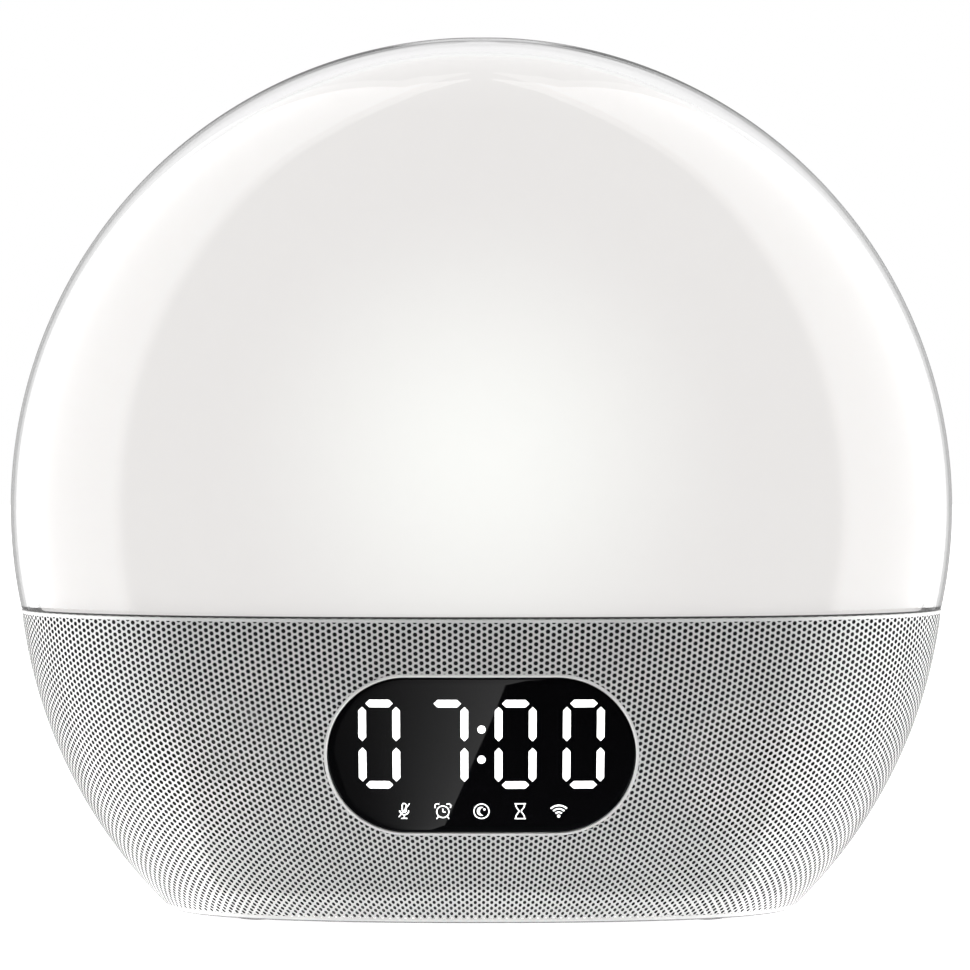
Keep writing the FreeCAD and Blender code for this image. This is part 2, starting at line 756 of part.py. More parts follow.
def make_speakers():
    """The left loudspeaker from its parts, and the right one as its mirror image."""
    x = "-place.speaker_offset"
    middle = (x, "size.speaker_height")
    seat = "-size.speaker_seat"
    flange_back = "-size.speaker_seat + size.speaker_flange_thickness"
    basket_back = "%s + size.basket_depth" % flange_back
    wall = "size.basket_wall"
    plate = rod("speaker_flange", "size.speaker_radius", "y", (seat, flange_back), middle)
    roomy = "size.speaker_opening_radius + %s" % wall
    shell = taper("basket_outside", (roomy, "size.magnet_radius"), "y", (flange_back, basket_back), middle)
    hollow = taper(
        "basket_inside", ("size.speaker_opening_radius", "size.magnet_radius - %s" % wall), "y",
        (flange_back, "%s - %s" % (basket_back, wall)), middle,
    )
    mouth = rod("basket_mouth", "size.speaker_opening_radius", "y", (seat, flange_back), middle)
    throat = rod("basket_throat", "size.coil_radius + size.seat_gap", "y", (flange_back, basket_back), middle)
    vent_depth = ("%s + %s" % (flange_back, wall), "%s - 2 * %s" % (basket_back, wall))
    vent_half = "size.coil_radius"
    vents = [
        block("vent_across", ("%s - 2 * size.speaker_radius" % x, "%s + 2 * size.speaker_radius" % x),
              vent_depth, ("size.speaker_height - %s" % vent_half, "size.speaker_height + %s" % vent_half)),
        block("vent_upright", ("%s - %s" % (x, vent_half), "%s + %s" % (x, vent_half)), vent_depth,
              ("size.speaker_height - 2 * size.speaker_radius", "size.speaker_height + 2 * size.speaker_radius")),
    ]
    holes = speaker_screw_rods(
        "flange_hole", "size.speaker_screw_radius + size.screw_gap", x, (seat, flange_back),
    )
    solid = fuse("speaker_solid", [plate, shell])
    frame = piece(cut("speaker_frame_left", solid, [hollow, mouth, throat] + vents + holes), "speaker_frame_left")
    magnet = piece(rod(
        "speaker_magnet_left", "size.magnet_radius", "y", (basket_back, "%s + size.magnet_height" % basket_back),
        middle,
    ), "speaker_magnet_left")
    roll = doc.addObject("Part::Torus", "surround_torus")
    aim(roll, "y", flange_back, middle)
    roll.setExpression("Radius1", "size.surround_radius")
    roll.setExpression("Radius2", "size.surround_roll")
    inner_roll = doc.addObject("Part::Torus", "surround_hollow")
    aim(inner_roll, "y", flange_back, middle)
    inner_roll.setExpression("Radius1", "size.surround_radius")
    inner_roll.setExpression("Radius2", "size.surround_roll - size.cone_wall")
    behind = rod("surround_behind", "size.speaker_radius", "y", (flange_back, basket_back), middle)
    surround = piece(cut("speaker_surround_left", roll, [inner_roll, behind]), "speaker_surround_left")
    rim = "size.surround_radius - size.surround_roll - size.seat_gap"
    cone_back = "%s + size.cone_depth" % flange_back
    cone_outside = taper("cone_outside", (rim, "size.coil_radius"), "y", (flange_back, cone_back), middle)
    cone_inside = taper(
        "cone_inside", ("%s - size.cone_wall" % rim, "size.coil_radius - size.cone_wall"), "y",
        (flange_back, cone_back), middle,
    )
    paper = cut("cone_paper", cone_outside, [cone_inside])
    coil_outside = rod("coil_outside", "size.coil_radius", "y", (cone_back, basket_back), middle)
    coil_inside = rod("coil_inside", "size.coil_radius - size.cone_wall", "y", (cone_back, basket_back), middle)
    coil = cut("voice_coil", coil_outside, [coil_inside])
    cap = rod("dust_cap", "size.coil_radius", "y", ("%s - size.cone_wall" % cone_back, cone_back), middle)
    cone = piece(fuse("speaker_cone_left", [paper, coil, cap]), "speaker_cone_left")
    heads = speaker_screw_rods(
        "speaker_head", "size.speaker_screw_head_radius", x,
        (flange_back, "%s + size.speaker_screw_radius" % flange_back),
    )
    shanks = speaker_screw_rods(
        "speaker_shank", "size.speaker_screw_radius", x,
        ("%s - size.speaker_screw_length" % flange_back, flange_back),
    )
    fixings = [fuse("speaker_screw_%d" % index, list(pair)) for index, pair in enumerate(zip(heads, shanks))]
    left_screws = group("speaker_screws_left", fixings)
    for source in (frame, magnet, surround, cone, left_screws):
        mirrored(source.Label.replace("left", "right"), source)


def make_main_board():
    """The main board on its standoffs, with the parts that stand tallest on it."""
    top = "place.main_board_top"
    board = block(
        "main_board_blank", both_ways("size.main_board_length / 2"), both_ways("size.main_board_width / 2"),
        ("place.main_board_bottom", top),
    )
    holes = corner_rods(
        "main_board_hole", "size.small_screw_radius + size.screw_gap", STANDOFFS, ("place.main_board_bottom", top),
    )
    piece(cut("main_board", board, holes), "main_board")
    group("main_board_screws", screws(
        "main_board_screw", "size.small_screw_radius", "size.small_screw_head_radius", STANDOFFS,
        top, "%s + size.small_screw_head_height" % top, "%s - size.small_screw_length" % top,
    ))
    left = "-size.main_board_length / 4"
    piece(block(
        "processor_chip", (left, "%s + size.processor_size" % left), both_ways("size.processor_size / 2"),
        (top, "%s + size.processor_height" % top),
    ), "processor_chip")
    radio_x = "size.main_board_length / 4"
    piece(block(
        "radio_module", (radio_x, "%s + size.radio_width" % radio_x), both_ways("size.radio_length / 2"),
        (top, "%s + size.radio_height" % top),
    ), "radio_module")
    capacitors = []
    for index in (-1, 0, 1):
        capacitors.append(rod(
            "capacitor_%d" % (index + 1), "size.capacitor_radius", "z", (top, "%s + size.capacitor_height" % top),
            ("%s - size.capacitor_radius - size.seat_gap" % left,
             "%d * (2 * size.capacitor_radius + size.seat_gap)" % index),
        ))
    group("power_capacitors", capacitors)
    cell_x = "size.cell_radius + size.holder_wall"
    holder_top = "%s + size.holder_wall + size.cell_height" % top
    holder_blank = rod(
        "holder_blank", "size.cell_radius + size.holder_wall", "z", (top, holder_top), (cell_x, "0"),
    )
    pocket = rod(
        "holder_pocket", "size.cell_radius + size.screw_gap", "z", ("%s + size.holder_wall" % top, holder_top),
        (cell_x, "0"),
    )
    piece(cut("cell_holder", holder_blank, [pocket]), "cell_holder")
    piece(rod(
        "backup_cell", "size.cell_radius", "z", ("%s + size.holder_wall" % top, holder_top), (cell_x, "0"),
    ), "backup_cell")


def make_ribbon(name, sign, board_face, landing):
    """A flat ribbon from the main board's edge to a standing board's inner face.

    sign is -1 to the front and 1 to the rear, and board_face is the distance of the face it reaches.
    """
    half = "size.ribbon_width / 2"
    top = "place.main_board_top"
    flat = (top, "%s + size.ribbon_thickness" % top)
    start = "size.main_board_width / 2 - size.connector_depth"
    bend = "%s - size.connector_depth" % board_face
    fold = "%s - size.ribbon_thickness" % bend
    level_run = block(name + "_level", both_ways(half), side_span(sign, start, bend), flat)
    upright_run = block(name + "_upright", both_ways(half), side_span(sign, fold, bend), (top, landing))
    last = ("(%s) - size.ribbon_thickness" % landing, landing)
    end_run = block(name + "_end", both_ways(half), side_span(sign, fold, board_face), last)
    piece(fuse(name, [level_run, upright_run, end_run]), name)


def side_span(sign, near, far):
    """A span of y between two distances from the middle plane, on one side of it."""
    if sign > 0:
        return near, far
    return "-(%s)" % far, "-(%s)" % near


def make_rear_panel():
    """The moulded panel in the rear wall, with its button holes, inlet slot and screw posts."""
    inner_bar = panel_bar("panel_hollow_bar", "-size.frame_wall")
    skin = common("panel_skin", [base_form("panel_outside", "0"), panel_bar("panel_bar", "0")])
    hollow = common("panel_hollow", [base_form("panel_back", "size.panel_wall"), inner_bar])
    flange = common("panel_flange", [
        base_form("panel_seat", "place.seat_inset"), panel_bar("panel_flange_bar", "size.frame_flange"),
    ])
    blank = fuse("panel_blank", [skin, flange])
    shell = cut("panel_shell", blank, [hollow, base_form("panel_deep", "place.flange_inset")])
    posts = []
    pilots = []
    for index, x in enumerate(both_ways("size.rear_post_offset")):
        post = rod(
            "rear_post_%d" % index, "size.rear_post_radius", "y", ("place.rear_plane", str(REACH)),
            (x, "place.inlet_centre"),
        )
        posts.append(common("rear_post_cut_%d" % index, [post, base_form("post_limit_%d" % index, "size.grille_wall")]))
        pilots.append(rod(
            "rear_pilot_%d" % index, "size.small_screw_radius + size.screw_gap", "y",
            ("place.rear_plane", "place.rear_plane + size.small_screw_length"), (x, "place.inlet_centre"),
        ))
    solid = fuse("panel_solid", [shell] + posts)
    holes = []
    for index, name in enumerate(BUTTONS):
        holes.append(rod(
            name + "_hole", "size.button_radius + size.button_gap", "y", ("0", str(REACH)),
            (button_x(index), "place.button_height"),
        ))
    slot = stadium(
        "inlet_slot", "size.inlet_width + 2 * size.inlet_gap", "size.inlet_height + 2 * size.inlet_gap",
        ("0", "place.inlet_centre"), ("0", str(REACH)),
    )
    piece(cut("rear_panel", solid, holes + pilots + [slot]), "rear_panel")


def button_x(index):
    return "%g * size.button_pitch" % (index - (len(BUTTONS) - 1) / 2)


def make_buttons():
    """Five push buttons: a cap through the panel, a flange that stops behind it and a stem."""
    cap_front = base_form("button_front", "-size.button_stand")
    flange_front = base_form("button_flange_front", "size.panel_wall + size.button_seat_gap")
    flange_back = base_form(
        "button_flange_back", "size.panel_wall + size.button_seat_gap + size.button_flange",
    )
    stem_end = "place.rear_plane + size.switch_height + size.plunger_height + size.button_travel + size.press_gap"
    for index, name in enumerate(BUTTONS):
        middle = (button_x(index), "place.button_height")
        cap_bar = rod(name + "_cap_bar", "size.button_radius", "y", ("0", str(REACH)), middle)
        flange_bar = rod(name + "_flange_bar", "size.button_radius + size.button_flange", "y", ("0", str(REACH)), middle)
        cap = common(name + "_cap", [cap_bar, cap_front])
        flange = common(name + "_flange", [flange_bar, flange_front])
        head = cut(name + "_head", fuse(name + "_blank", [cap, flange]), [flange_back])
        stem_bar = rod(name + "_stem_bar", "size.stem_radius", "y", (stem_end, str(REACH)), middle)
        stem = common(name + "_stem", [stem_bar, flange_front])
        piece(fuse(name, [head, stem]), name)


def make_rear_board():
    """The board behind the rear panel, with a switch for each button and the power inlet."""
    face = "place.rear_plane"
    back = "place.rear_plane - size.circuit_thickness"
    blank = block(
        "rear_board_blank", both_ways("size.rear_board_length / 2"), (back, face),
        ("size.panel_centre_height - size.rear_board_height / 2",
         "size.panel_centre_height + size.rear_board_height / 2"),
    )
    holes = []
    fixings = []
    for index, x in enumerate(both_ways("size.rear_post_offset")):
        middle = (x, "place.inlet_centre")
        holes.append(rod(
            "rear_board_hole_%d" % index, "size.small_screw_radius + size.screw_gap", "y", (back, face), middle,
        ))
        head = rod(
            "rear_screw_head_%d" % index, "size.small_screw_head_radius", "y",
            ("%s - size.small_screw_head_height" % back, back), middle,
        )
        shank = rod(
            "rear_screw_shank_%d" % index, "size.small_screw_radius", "y",
            (back, "%s + size.small_screw_length" % back), middle,
        )
        fixings.append(fuse("rear_screw_%d" % index, [head, shank]))
    piece(cut("rear_board", blank, holes), "rear_board")
    group("rear_board_screws", fixings)
    switches = []
    for index in range(len(BUTTONS)):
        x = button_x(index)
        body = block(
            "switch_body_%d" % index, ("%s - size.switch_size / 2" % x, "%s + size.switch_size / 2" % x),
            (face, "%s + size.switch_height" % face),
            ("place.button_height - size.switch_size / 2", "place.button_height + size.switch_size / 2"),
        )
        plunger = rod(
            "switch_plunger_%d" % index, "size.plunger_radius", "y",
            ("%s + size.switch_height" % face, "%s + size.switch_height + size.plunger_height" % face),
            (x, "place.button_height"),
        )
        switches.append(fuse("switch_%d" % index, [body, plunger]))
    group("tact_switches", switches)
    middle = ("0", "place.inlet_centre")
    through = (face, str(REACH))
    shell_bar = stadium("inlet_bar", "size.inlet_width", "size.inlet_height", middle, through)
    shell = common("inlet_blank", [shell_bar, base_form("inlet_front", "size.inlet_recess")])
    mouth = stadium(
        "inlet_mouth", "size.inlet_width - 2 * size.inlet_wall", "size.inlet_height - 2 * size.inlet_wall",
        middle, ("%s + size.inlet_wall" % face, str(REACH)),
    )
    tongue_bar = block(
        "tongue_bar", both_ways("size.tongue_width / 2"), through,
        ("place.inlet_centre - size.tongue_thickness / 2", "place.inlet_centre + size.tongue_thickness / 2"),
    )
    tongue = common("inlet_tongue", [tongue_bar, base_form("tongue_front", "2 * size.inlet_recess")])
    piece(fuse("usb_power_inlet", [cut("inlet_shell", shell, [mouth]), tongue]), "usb_power_inlet")


def check_document():
    """Stops if an object failed, or if a sub-part has no sound solid."""
    for feature in doc.Objects:
        if "Invalid" in feature.State or "Error" in feature.State:
            raise RuntimeError("%s failed: %s" % (feature.Label, feature.State))
    for feature in pieces:
        if feature.Shape.isNull() or not feature.Shape.isValid() or not feature.Shape.Solids:
            raise RuntimeError("%s has no valid solid" % feature.Label)


def write_parts():
    """One STEP file for each sub-part, named after it."""
    os.makedirs("parts", exist_ok=True)
    for feature in pieces:
        feature.Shape.exportStep("parts/%s.step" % feature.Label)
        print("%-24s %2d solids %10.1f mm3" % (feature.Label, len(feature.Shape.Solids), feature.Shape.Volume))
    print("%d sub-parts" % len(pieces))


fill_sheet()
add_places()
make_domes()
make_light()
make_grille(base_form("base_outside", "0"), [
    window_bar("grille_window", "size.window_gap"), panel_bar("grille_panel", "size.window_gap"),
])
make_chassis([
    window_bar("chassis_window", "size.window_gap", "-place.display_plane"),
    panel_bar("chassis_panel", "size.window_gap", "place.rear_plane"),
])
make_bottom()
make_display()
make_speakers()
make_main_board()
make_ribbon(
    "display_ribbon", -1, "place.display_plane - size.circuit_thickness",
    "place.window_bottom + size.window_height / 4",
)
make_ribbon(
    "rear_ribbon", 1, "place.rear_plane - size.circuit_thickness", "place.inlet_centre",
)
make_rear_panel()
make_buttons()
make_rear_board()
doc.recompute()
check_document()
write_parts()
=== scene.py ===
"""Looks of the sunrise alarm clock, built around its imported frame. Lengths are metres."""
import json
import math
import bpy
import numpy as np
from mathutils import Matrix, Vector


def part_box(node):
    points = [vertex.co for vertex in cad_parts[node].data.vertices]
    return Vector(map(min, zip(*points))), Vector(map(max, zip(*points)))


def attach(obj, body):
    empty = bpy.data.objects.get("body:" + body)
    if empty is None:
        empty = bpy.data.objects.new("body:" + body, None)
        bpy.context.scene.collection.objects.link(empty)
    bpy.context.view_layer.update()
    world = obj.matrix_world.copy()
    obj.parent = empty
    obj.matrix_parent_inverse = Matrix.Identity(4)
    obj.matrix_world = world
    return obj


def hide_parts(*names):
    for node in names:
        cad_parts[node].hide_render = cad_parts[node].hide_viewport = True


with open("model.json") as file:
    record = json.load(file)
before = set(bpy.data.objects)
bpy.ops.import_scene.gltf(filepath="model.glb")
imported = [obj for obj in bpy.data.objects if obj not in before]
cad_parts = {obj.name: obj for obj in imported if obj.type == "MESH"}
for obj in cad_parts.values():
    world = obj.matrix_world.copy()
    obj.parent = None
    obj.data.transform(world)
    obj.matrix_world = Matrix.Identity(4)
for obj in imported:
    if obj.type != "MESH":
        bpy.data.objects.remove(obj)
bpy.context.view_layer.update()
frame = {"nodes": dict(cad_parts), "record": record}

MM = 0.001
BODY = "clock_body"

# Outer form, read from the frame where it can be
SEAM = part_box("outer_dome")[0][2]
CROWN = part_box("outer_dome")[1][2]
DOME_RADIUS = 95.1 * MM
DOME_HALF_DEPTH = 51.2 * MM
DOME_CENTRE = CROWN - DOME_RADIUS
DOME_WALL = 3.0 * MM
DOME_GAP = 0.8 * MM
DIFFUSER_WALL = 1.6 * MM
BASE_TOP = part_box("grille_shell")[1][2]
BASE_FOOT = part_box("grille_shell")[0][2]
BASE_ARC_RADIUS = 99.1 * MM
BASE_ARC_HEIGHT = 72.0 * MM
FOOT_HALF_DEPTH = 29.0 * MM
BULGE_HALF_DEPTH = 47.0 * MM

# Perforation of the grille
HOLE_COLUMNS = 432
HOLE_RADIUS = 0.44 * MM
HOLE_SHARE = 0.41
HOLE_ROW_PITCH = 1.19 * MM
HOLE_DEPTH = 0.18 * MM
SECTORS = 8
TOP_RIM = 0.45 * MM
FOOT_RIM = 1.0 * MM
RIM_OVERLAP = 0.6
RIM_PROUD = 0.04 * MM
RIM_TUCK = 0.1 * MM
EDGE_ROUND = 0.15 * MM
FOOT_HEM = 4.0 * MM
LIP_WIDTH = 0.6 * MM
SEAM_COVER = 0.2 * MM

# Display window
WINDOW_LOW, WINDOW_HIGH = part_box("display_window")
WINDOW_Z = (WINDOW_LOW[2] + WINDOW_HIGH[2]) / 2 - 0.5 * MM
WINDOW_WIDTH = WINDOW_HIGH[0] - WINDOW_LOW[0]
WINDOW_HEIGHT = WINDOW_HIGH[2] - WINDOW_LOW[2] + 0.7 * MM
PANEL_WIDTH = 76.0 * MM
PANEL_HEIGHT = 32.0 * MM
PANEL_Z = 33.0 * MM
WINDOW_GAP = 0.25 * MM
DIGIT_Z = (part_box("time_digits")[0][2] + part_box("time_digits")[1][2]) / 2 - 0.2 * MM
DIGIT_WIDTH = 7.9 * MM
DIGIT_HEIGHT = 17.25 * MM
DIGIT_PITCH = 12.93 * MM
DIGIT_STROKE = 1.45 * MM
SEGMENT_SPLIT = 1.3 * MM
COLON_RADIUS = 0.79 * MM
COLON_RISE = 2.92 * MM
ICON_Z = WINDOW_Z - 10.85 * MM
ICON_PITCH = 7.38 * MM
ICON_HEIGHT = 3.2 * MM
DECAL_PROUD = 0.02 * MM

# Camera, from the photograph's perspective
CAMERA_DISTANCE = 0.684
CAMERA_HEIGHT = 0.0912
LENS = 125.0
SENSOR = 36.0
FRAME_PIXELS = 970.0
AXIS_COLUMN = 481.5
HORIZON_ROW = 459.0


def plan_point(along):
    """A point of the unit plan; along runs from 0 at +X through 1 at +Y round to 4."""
    quarter = np.floor(along).astype(int) % 4
    share = along - np.floor(along)
    x = 1 - share ** 2
    y = 2 * share - share ** 2
    across = np.choose(quarter, [x, -y, -x, y])
    deep = np.choose(quarter, [y, x, -y, -x])
    return across, deep


def even_plan(count, half_width, half_depth, shift=0.0):
    """Plan parameters spaced evenly along an oval of this size."""
    fine = np.linspace(0.0, 4.0, 8001)
    x, y = plan_point(fine[:-1])
    x = np.append(x, x[0]) * half_width
    y = np.append(y, y[0]) * half_depth
    run = np.concatenate([[0.0], np.cumsum(np.hypot(np.diff(x), np.diff(y)))])
    wanted = (np.arange(count) + shift) % count / count * run[-1]
    return np.interp(wanted, run, fine)


def dome_sizes(angle, inset):
    """Half width, half depth and height of the dome at an angle above its centre."""
    radius = DOME_RADIUS - inset
    depth = DOME_HALF_DEPTH - inset
    return radius * np.cos(angle), depth * np.cos(angle), DOME_CENTRE + radius * np.sin(angle)


def seam_sizes():
    start = math.asin((SEAM - DOME_CENTRE) / DOME_RADIUS)
    return DOME_RADIUS * math.cos(start), DOME_HALF_DEPTH * math.cos(start)


def base_table():
    """The base's half width and half depth against height, along its one conic arc."""
    seam_width, seam_depth = seam_sizes()
    start = math.asin((BASE_FOOT - BASE_ARC_HEIGHT) / BASE_ARC_RADIUS)
    end = math.asin((SEAM - BASE_ARC_HEIGHT) / BASE_ARC_RADIUS)
    half = (end - start) / 2
    middle = (end + start) / 2
    offset = BASE_ARC_RADIUS * math.cos(end) - seam_width
    reach = BASE_ARC_RADIUS / math.cos(half)
    points = np.array([
        [BASE_ARC_RADIUS * math.cos(start) - offset, FOOT_HALF_DEPTH, BASE_FOOT],
        [reach * math.cos(middle) - offset, BULGE_HALF_DEPTH, BASE_ARC_HEIGHT + reach * math.sin(middle)],
        [seam_width, seam_depth, SEAM],
    ])
    weights = np.array([1.0, math.cos(half), 1.0])
    share = np.linspace(0.0, 1.0, 2001)[:, None]
    blend = np.hstack([(1 - share) ** 2, 2 * share * (1 - share), share ** 2]) * weights
    return (blend @ points) / blend.sum(axis=1, keepdims=True)


BASE = base_table()


def base_sizes(height):
    return np.interp(height, BASE[:, 2], BASE[:, 0]), np.interp(height, BASE[:, 2], BASE[:, 1])


def surface_depth(x, z):
    """How far the base's surface lies from the middle plane at x, z."""
    wide, deep = base_sizes(z)
    share = np.sqrt(np.clip(1 - np.abs(x) / wide, 0.0, 1.0))
    return deep * (2 * share - share ** 2)


def base_points(along, height, proud=0.0):
    """Points of the base's surface at plan parameters and heights, moved outwards by proud."""
    across, deep_share = plan_point(along)
    wide, deep = base_sizes(height)
    return np.stack([across * (wide + proud), deep_share * (deep + proud), height + 0 * across], axis=-1)


def new_object(name, points, faces, material, body=BODY, smooth=True, sharp=40.0, shade=None):
    """One piece from points and faces; faces is a list of index arrays of one face length each.

    shade gives each face how far it lies in shade, which materials that read it paint darker as painted shade.
    """
    mesh = bpy.data.meshes.new(name)
    points = np.asarray(points, dtype=np.float32).reshape(-1, 3)
    faces = [np.asarray(block, dtype=np.int32) for block in faces if len(block)]
    lengths = np.concatenate([np.full(len(block), block.shape[1], dtype=np.int32) for block in faces])
    corners = np.concatenate([block.ravel() for block in faces])
    mesh.vertices.add(len(points))
    mesh.vertices.foreach_set("co", points.ravel())
    mesh.loops.add(len(corners))
    mesh.loops.foreach_set("vertex_index", corners)
    mesh.polygons.add(len(lengths))
    starts = np.concatenate([[0], np.cumsum(lengths)[:-1]]).astype(np.int32)
    mesh.polygons.foreach_set("loop_start", starts)
    mesh.update(calc_edges=True)
    if shade is not None:
        mesh.attributes.new("shade", "FLOAT", "FACE").data.foreach_set("value", shade)
    mesh.validate()
    mesh.polygons.foreach_set("use_smooth", np.full(len(mesh.polygons), smooth))
    if smooth:
        mesh.set_sharp_from_angle(angle=math.radians(sharp))
    mesh.materials.append(material)
    piece = bpy.data.objects.new(name, mesh)
    bpy.context.scene.collection.objects.link(piece)
    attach(piece, body)
    return piece


def grid(rows, columns, start=0, closed=True, flip=False):
    """Quads between rows of points that follow one another."""
    last = columns if closed else columns - 1
    row = np.arange(rows - 1)[:, None] * columns
    column = np.arange(last)[None, :]
    after = (column + 1) % columns
    quads = np.stack([row + column, row + after, row + columns + after, row + columns + column], axis=-1)
    quads = quads.reshape(-1, 4) + start
    return quads[:, ::-1] if flip else quads


def fan(ring_start, count, middle, flip=False):
    """Triangles from a ring of points to one point."""
    index = np.arange(count)
    after = (index + 1) % count
    triangles = np.stack([ring_start + index, ring_start + after, np.full(count, middle)], axis=-1)
    return triangles[:, ::-1] if flip else triangles


# Node helpers for the materials
def new_material(name, colour, roughness, metallic=0.0):
    material = bpy.data.materials.new(name)
    material.use_nodes = True
    shader = material.node_tree.nodes["Principled BSDF"]
    shader.inputs["Base Color"].default_value = (*colour, 1.0)
    shader.inputs["Roughness"].default_value = roughness
    shader.inputs["Metallic"].default_value = metallic
    return material, shader


def add_node(material, kind, **values):
    node = material.node_tree.nodes.new(kind)
    for name, value in values.items():
        if name in node.inputs:
            node.inputs[name].default_value = value
        else:
            setattr(node, name, value)
    return node


def join(material, source, output, target, entry):
    material.node_tree.links.new(source.outputs[output], target.inputs[entry])


def noise_on(material, scale, detail=4.0):
    """Noise in the object's own coordinates, which are metres."""
    place = add_node(material, "ShaderNodeTexCoord")
    noise = add_node(material, "ShaderNodeTexNoise", Scale=scale, Detail=detail)
    join(material, place, "Object", noise, "Vector")
    return noise


def ramp_on(material, source, output, low, high, low_at=0.35, high_at=0.65):
    """A colour ramp between two colours, driven by a node's output."""
    ramp = add_node(material, "ShaderNodeValToRGB")
    ramp.color_ramp.elements[0].position = low_at
    ramp.color_ramp.elements[1].position = high_at
    ramp.color_ramp.elements[0].color = (*low, 1.0)
    ramp.color_ramp.elements[1].color = (*high, 1.0)
    join(material, source, output, ramp, "Fac")
    return ramp


def add_bump(material, shader, source, output, strength, distance):
    bump = add_node(material, "ShaderNodeBump", Strength=strength, Distance=distance)
    join(material, source, output, bump, "Height")
    join(material, bump, "Normal", shader, "Normal")


def textured(name, colour, spread, roughness, scale, bump, metallic=0.0):
    """A material whose colour, roughness and bump vary a little on a fine noise."""
    material, shader = new_material(name, colour, roughness, metallic)
    coarse = noise_on(material, scale / 12)
    fine = noise_on(material, scale)
    low = tuple(max(0.0, part * (1 - spread)) for part in colour)
    high = tuple(min(1.0, part * (1 + spread)) for part in colour)
    tint = ramp_on(material, coarse, "Fac", low, high)
    join(material, tint, "Color", shader, "Base Color")
    wear = ramp_on(material, fine, "Fac", (roughness * 0.85,) * 3, (min(1.0, roughness * 1.15),) * 3)
    join(material, wear, "Color", shader, "Roughness")
    if bump:
        add_bump(material, shader, fine, "Fac", 0.25, bump)
    return material


def clear_material():
    """Clear acrylic, a little dusty."""
    material, shader = new_material("clear_acrylic", (1.0, 1.0, 1.0), 0.0)
    shader.inputs["Transmission Weight"].default_value = 1.0
    shader.inputs["IOR"].default_value = 1.49
    haze = noise_on(material, 40.0)
    soft = ramp_on(material, haze, "Fac", (0.0,) * 3, (0.012,) * 3)
    join(material, soft, "Color", shader, "Roughness")
    return material


GLOW_CENTRE = (0.0, 0.0, 92.0 * MM)
GLOW_REACH = 53.0 * MM
EVEN_GLOW = (0.675, 0.662, 0.655)
LAMP_GLOW = (0.835, 0.844, 0.823)


def diffuser_material():
    """Milk-white acrylic, lit evenly from inside with a soft brighter spot over the lamp."""
    material, shader = new_material("milky_acrylic", (0.27, 0.262, 0.252), 0.45)
    shader.inputs["Specular IOR Level"].default_value = 0.15
    place = add_node(material, "ShaderNodeTexCoord")
    shift = add_node(material, "ShaderNodeVectorMath", operation="SUBTRACT")
    shift.inputs[1].default_value = GLOW_CENTRE
    flatten = add_node(material, "ShaderNodeVectorMath", operation="MULTIPLY")
    flatten.inputs[1].default_value = (1.0 / GLOW_REACH, 0.0, 1.0 / GLOW_REACH)
    distance = add_node(material, "ShaderNodeVectorMath", operation="LENGTH")
    join(material, place, "Object", shift, 0)
    join(material, shift, "Vector", flatten, 0)
    join(material, flatten, "Vector", distance, 0)
    ramp = ramp_on(material, distance, "Value", LAMP_GLOW, EVEN_GLOW, 0.0, 1.0)
    ramp.color_ramp.interpolation = "EASE"
    join(material, ramp, "Color", shader, "Emission Color")
    shader.inputs["Emission Strength"].default_value = 1.0
    return material


def lit_material():
    material, shader = new_material("lit_white", (0.9, 0.9, 0.9), 0.4)
    shader.inputs["Emission Color"].default_value = (1.0, 1.0, 1.0, 1.0)
    shader.inputs["Emission Strength"].default_value = 1.1
    return material


def window_material():
    """Smoked, polished cover of the display."""
    material, shader = new_material("smoked_cover", (0.0006, 0.0006, 0.0007), 0.04)
    shader.inputs["IOR"].default_value = 1.49
    dust = noise_on(material, 220.0)
    soft = ramp_on(material, dust, "Fac", (0.01,) * 3, (0.025,) * 3)
    join(material, soft, "Color", shader, "Roughness")
    return material


# Sockets of a mix node that mixes colours
MIX_FACTOR = 0
MIX_A = 6
MIX_B = 7
MIX_RESULT = 2


def metal_with_painted_hole_shade():
    """The grille's metal, with the walls of its holes painted nearly black as painted shade."""
    material = textured("grille_metal", (0.51, 0.51, 0.505), 0.03, 0.36, 900.0, 0.00001, 0.4)
    shader = material.node_tree.nodes["Principled BSDF"]
    tint = shader.inputs["Base Color"].links[0].from_node
    shade = add_node(material, "ShaderNodeAttribute", attribute_name="shade")
    mix = add_node(material, "ShaderNodeMix", data_type="RGBA")
    # Near-black colour of the hole walls: painted shade inside the holes
    mix.inputs[MIX_B].default_value = (0.012, 0.012, 0.012, 1.0)
    join(material, shade, "Fac", mix, MIX_FACTOR)
    join(material, tint, "Color", mix, MIX_A)
    join(material, mix, MIX_RESULT, shader, "Base Color")
    wear = shader.inputs["Roughness"].links[0].from_node
    rough = add_node(material, "ShaderNodeMix")
    rough.inputs["B"].default_value = 1.0
    join(material, shade, "Fac", rough, "Factor")
    join(material, wear, "Color", rough, "A")
    join(material, rough, "Result", shader, "Roughness")
    return material


def dark_material():
    """The chassis behind the holes, which shows only as darkness."""
    material = textured("chassis_black", (0.018, 0.018, 0.019), 0.15, 0.8, 1600.0, 0.00003)
    material.node_tree.nodes["Principled BSDF"].inputs["Specular IOR Level"].default_value = 0.15
    return material


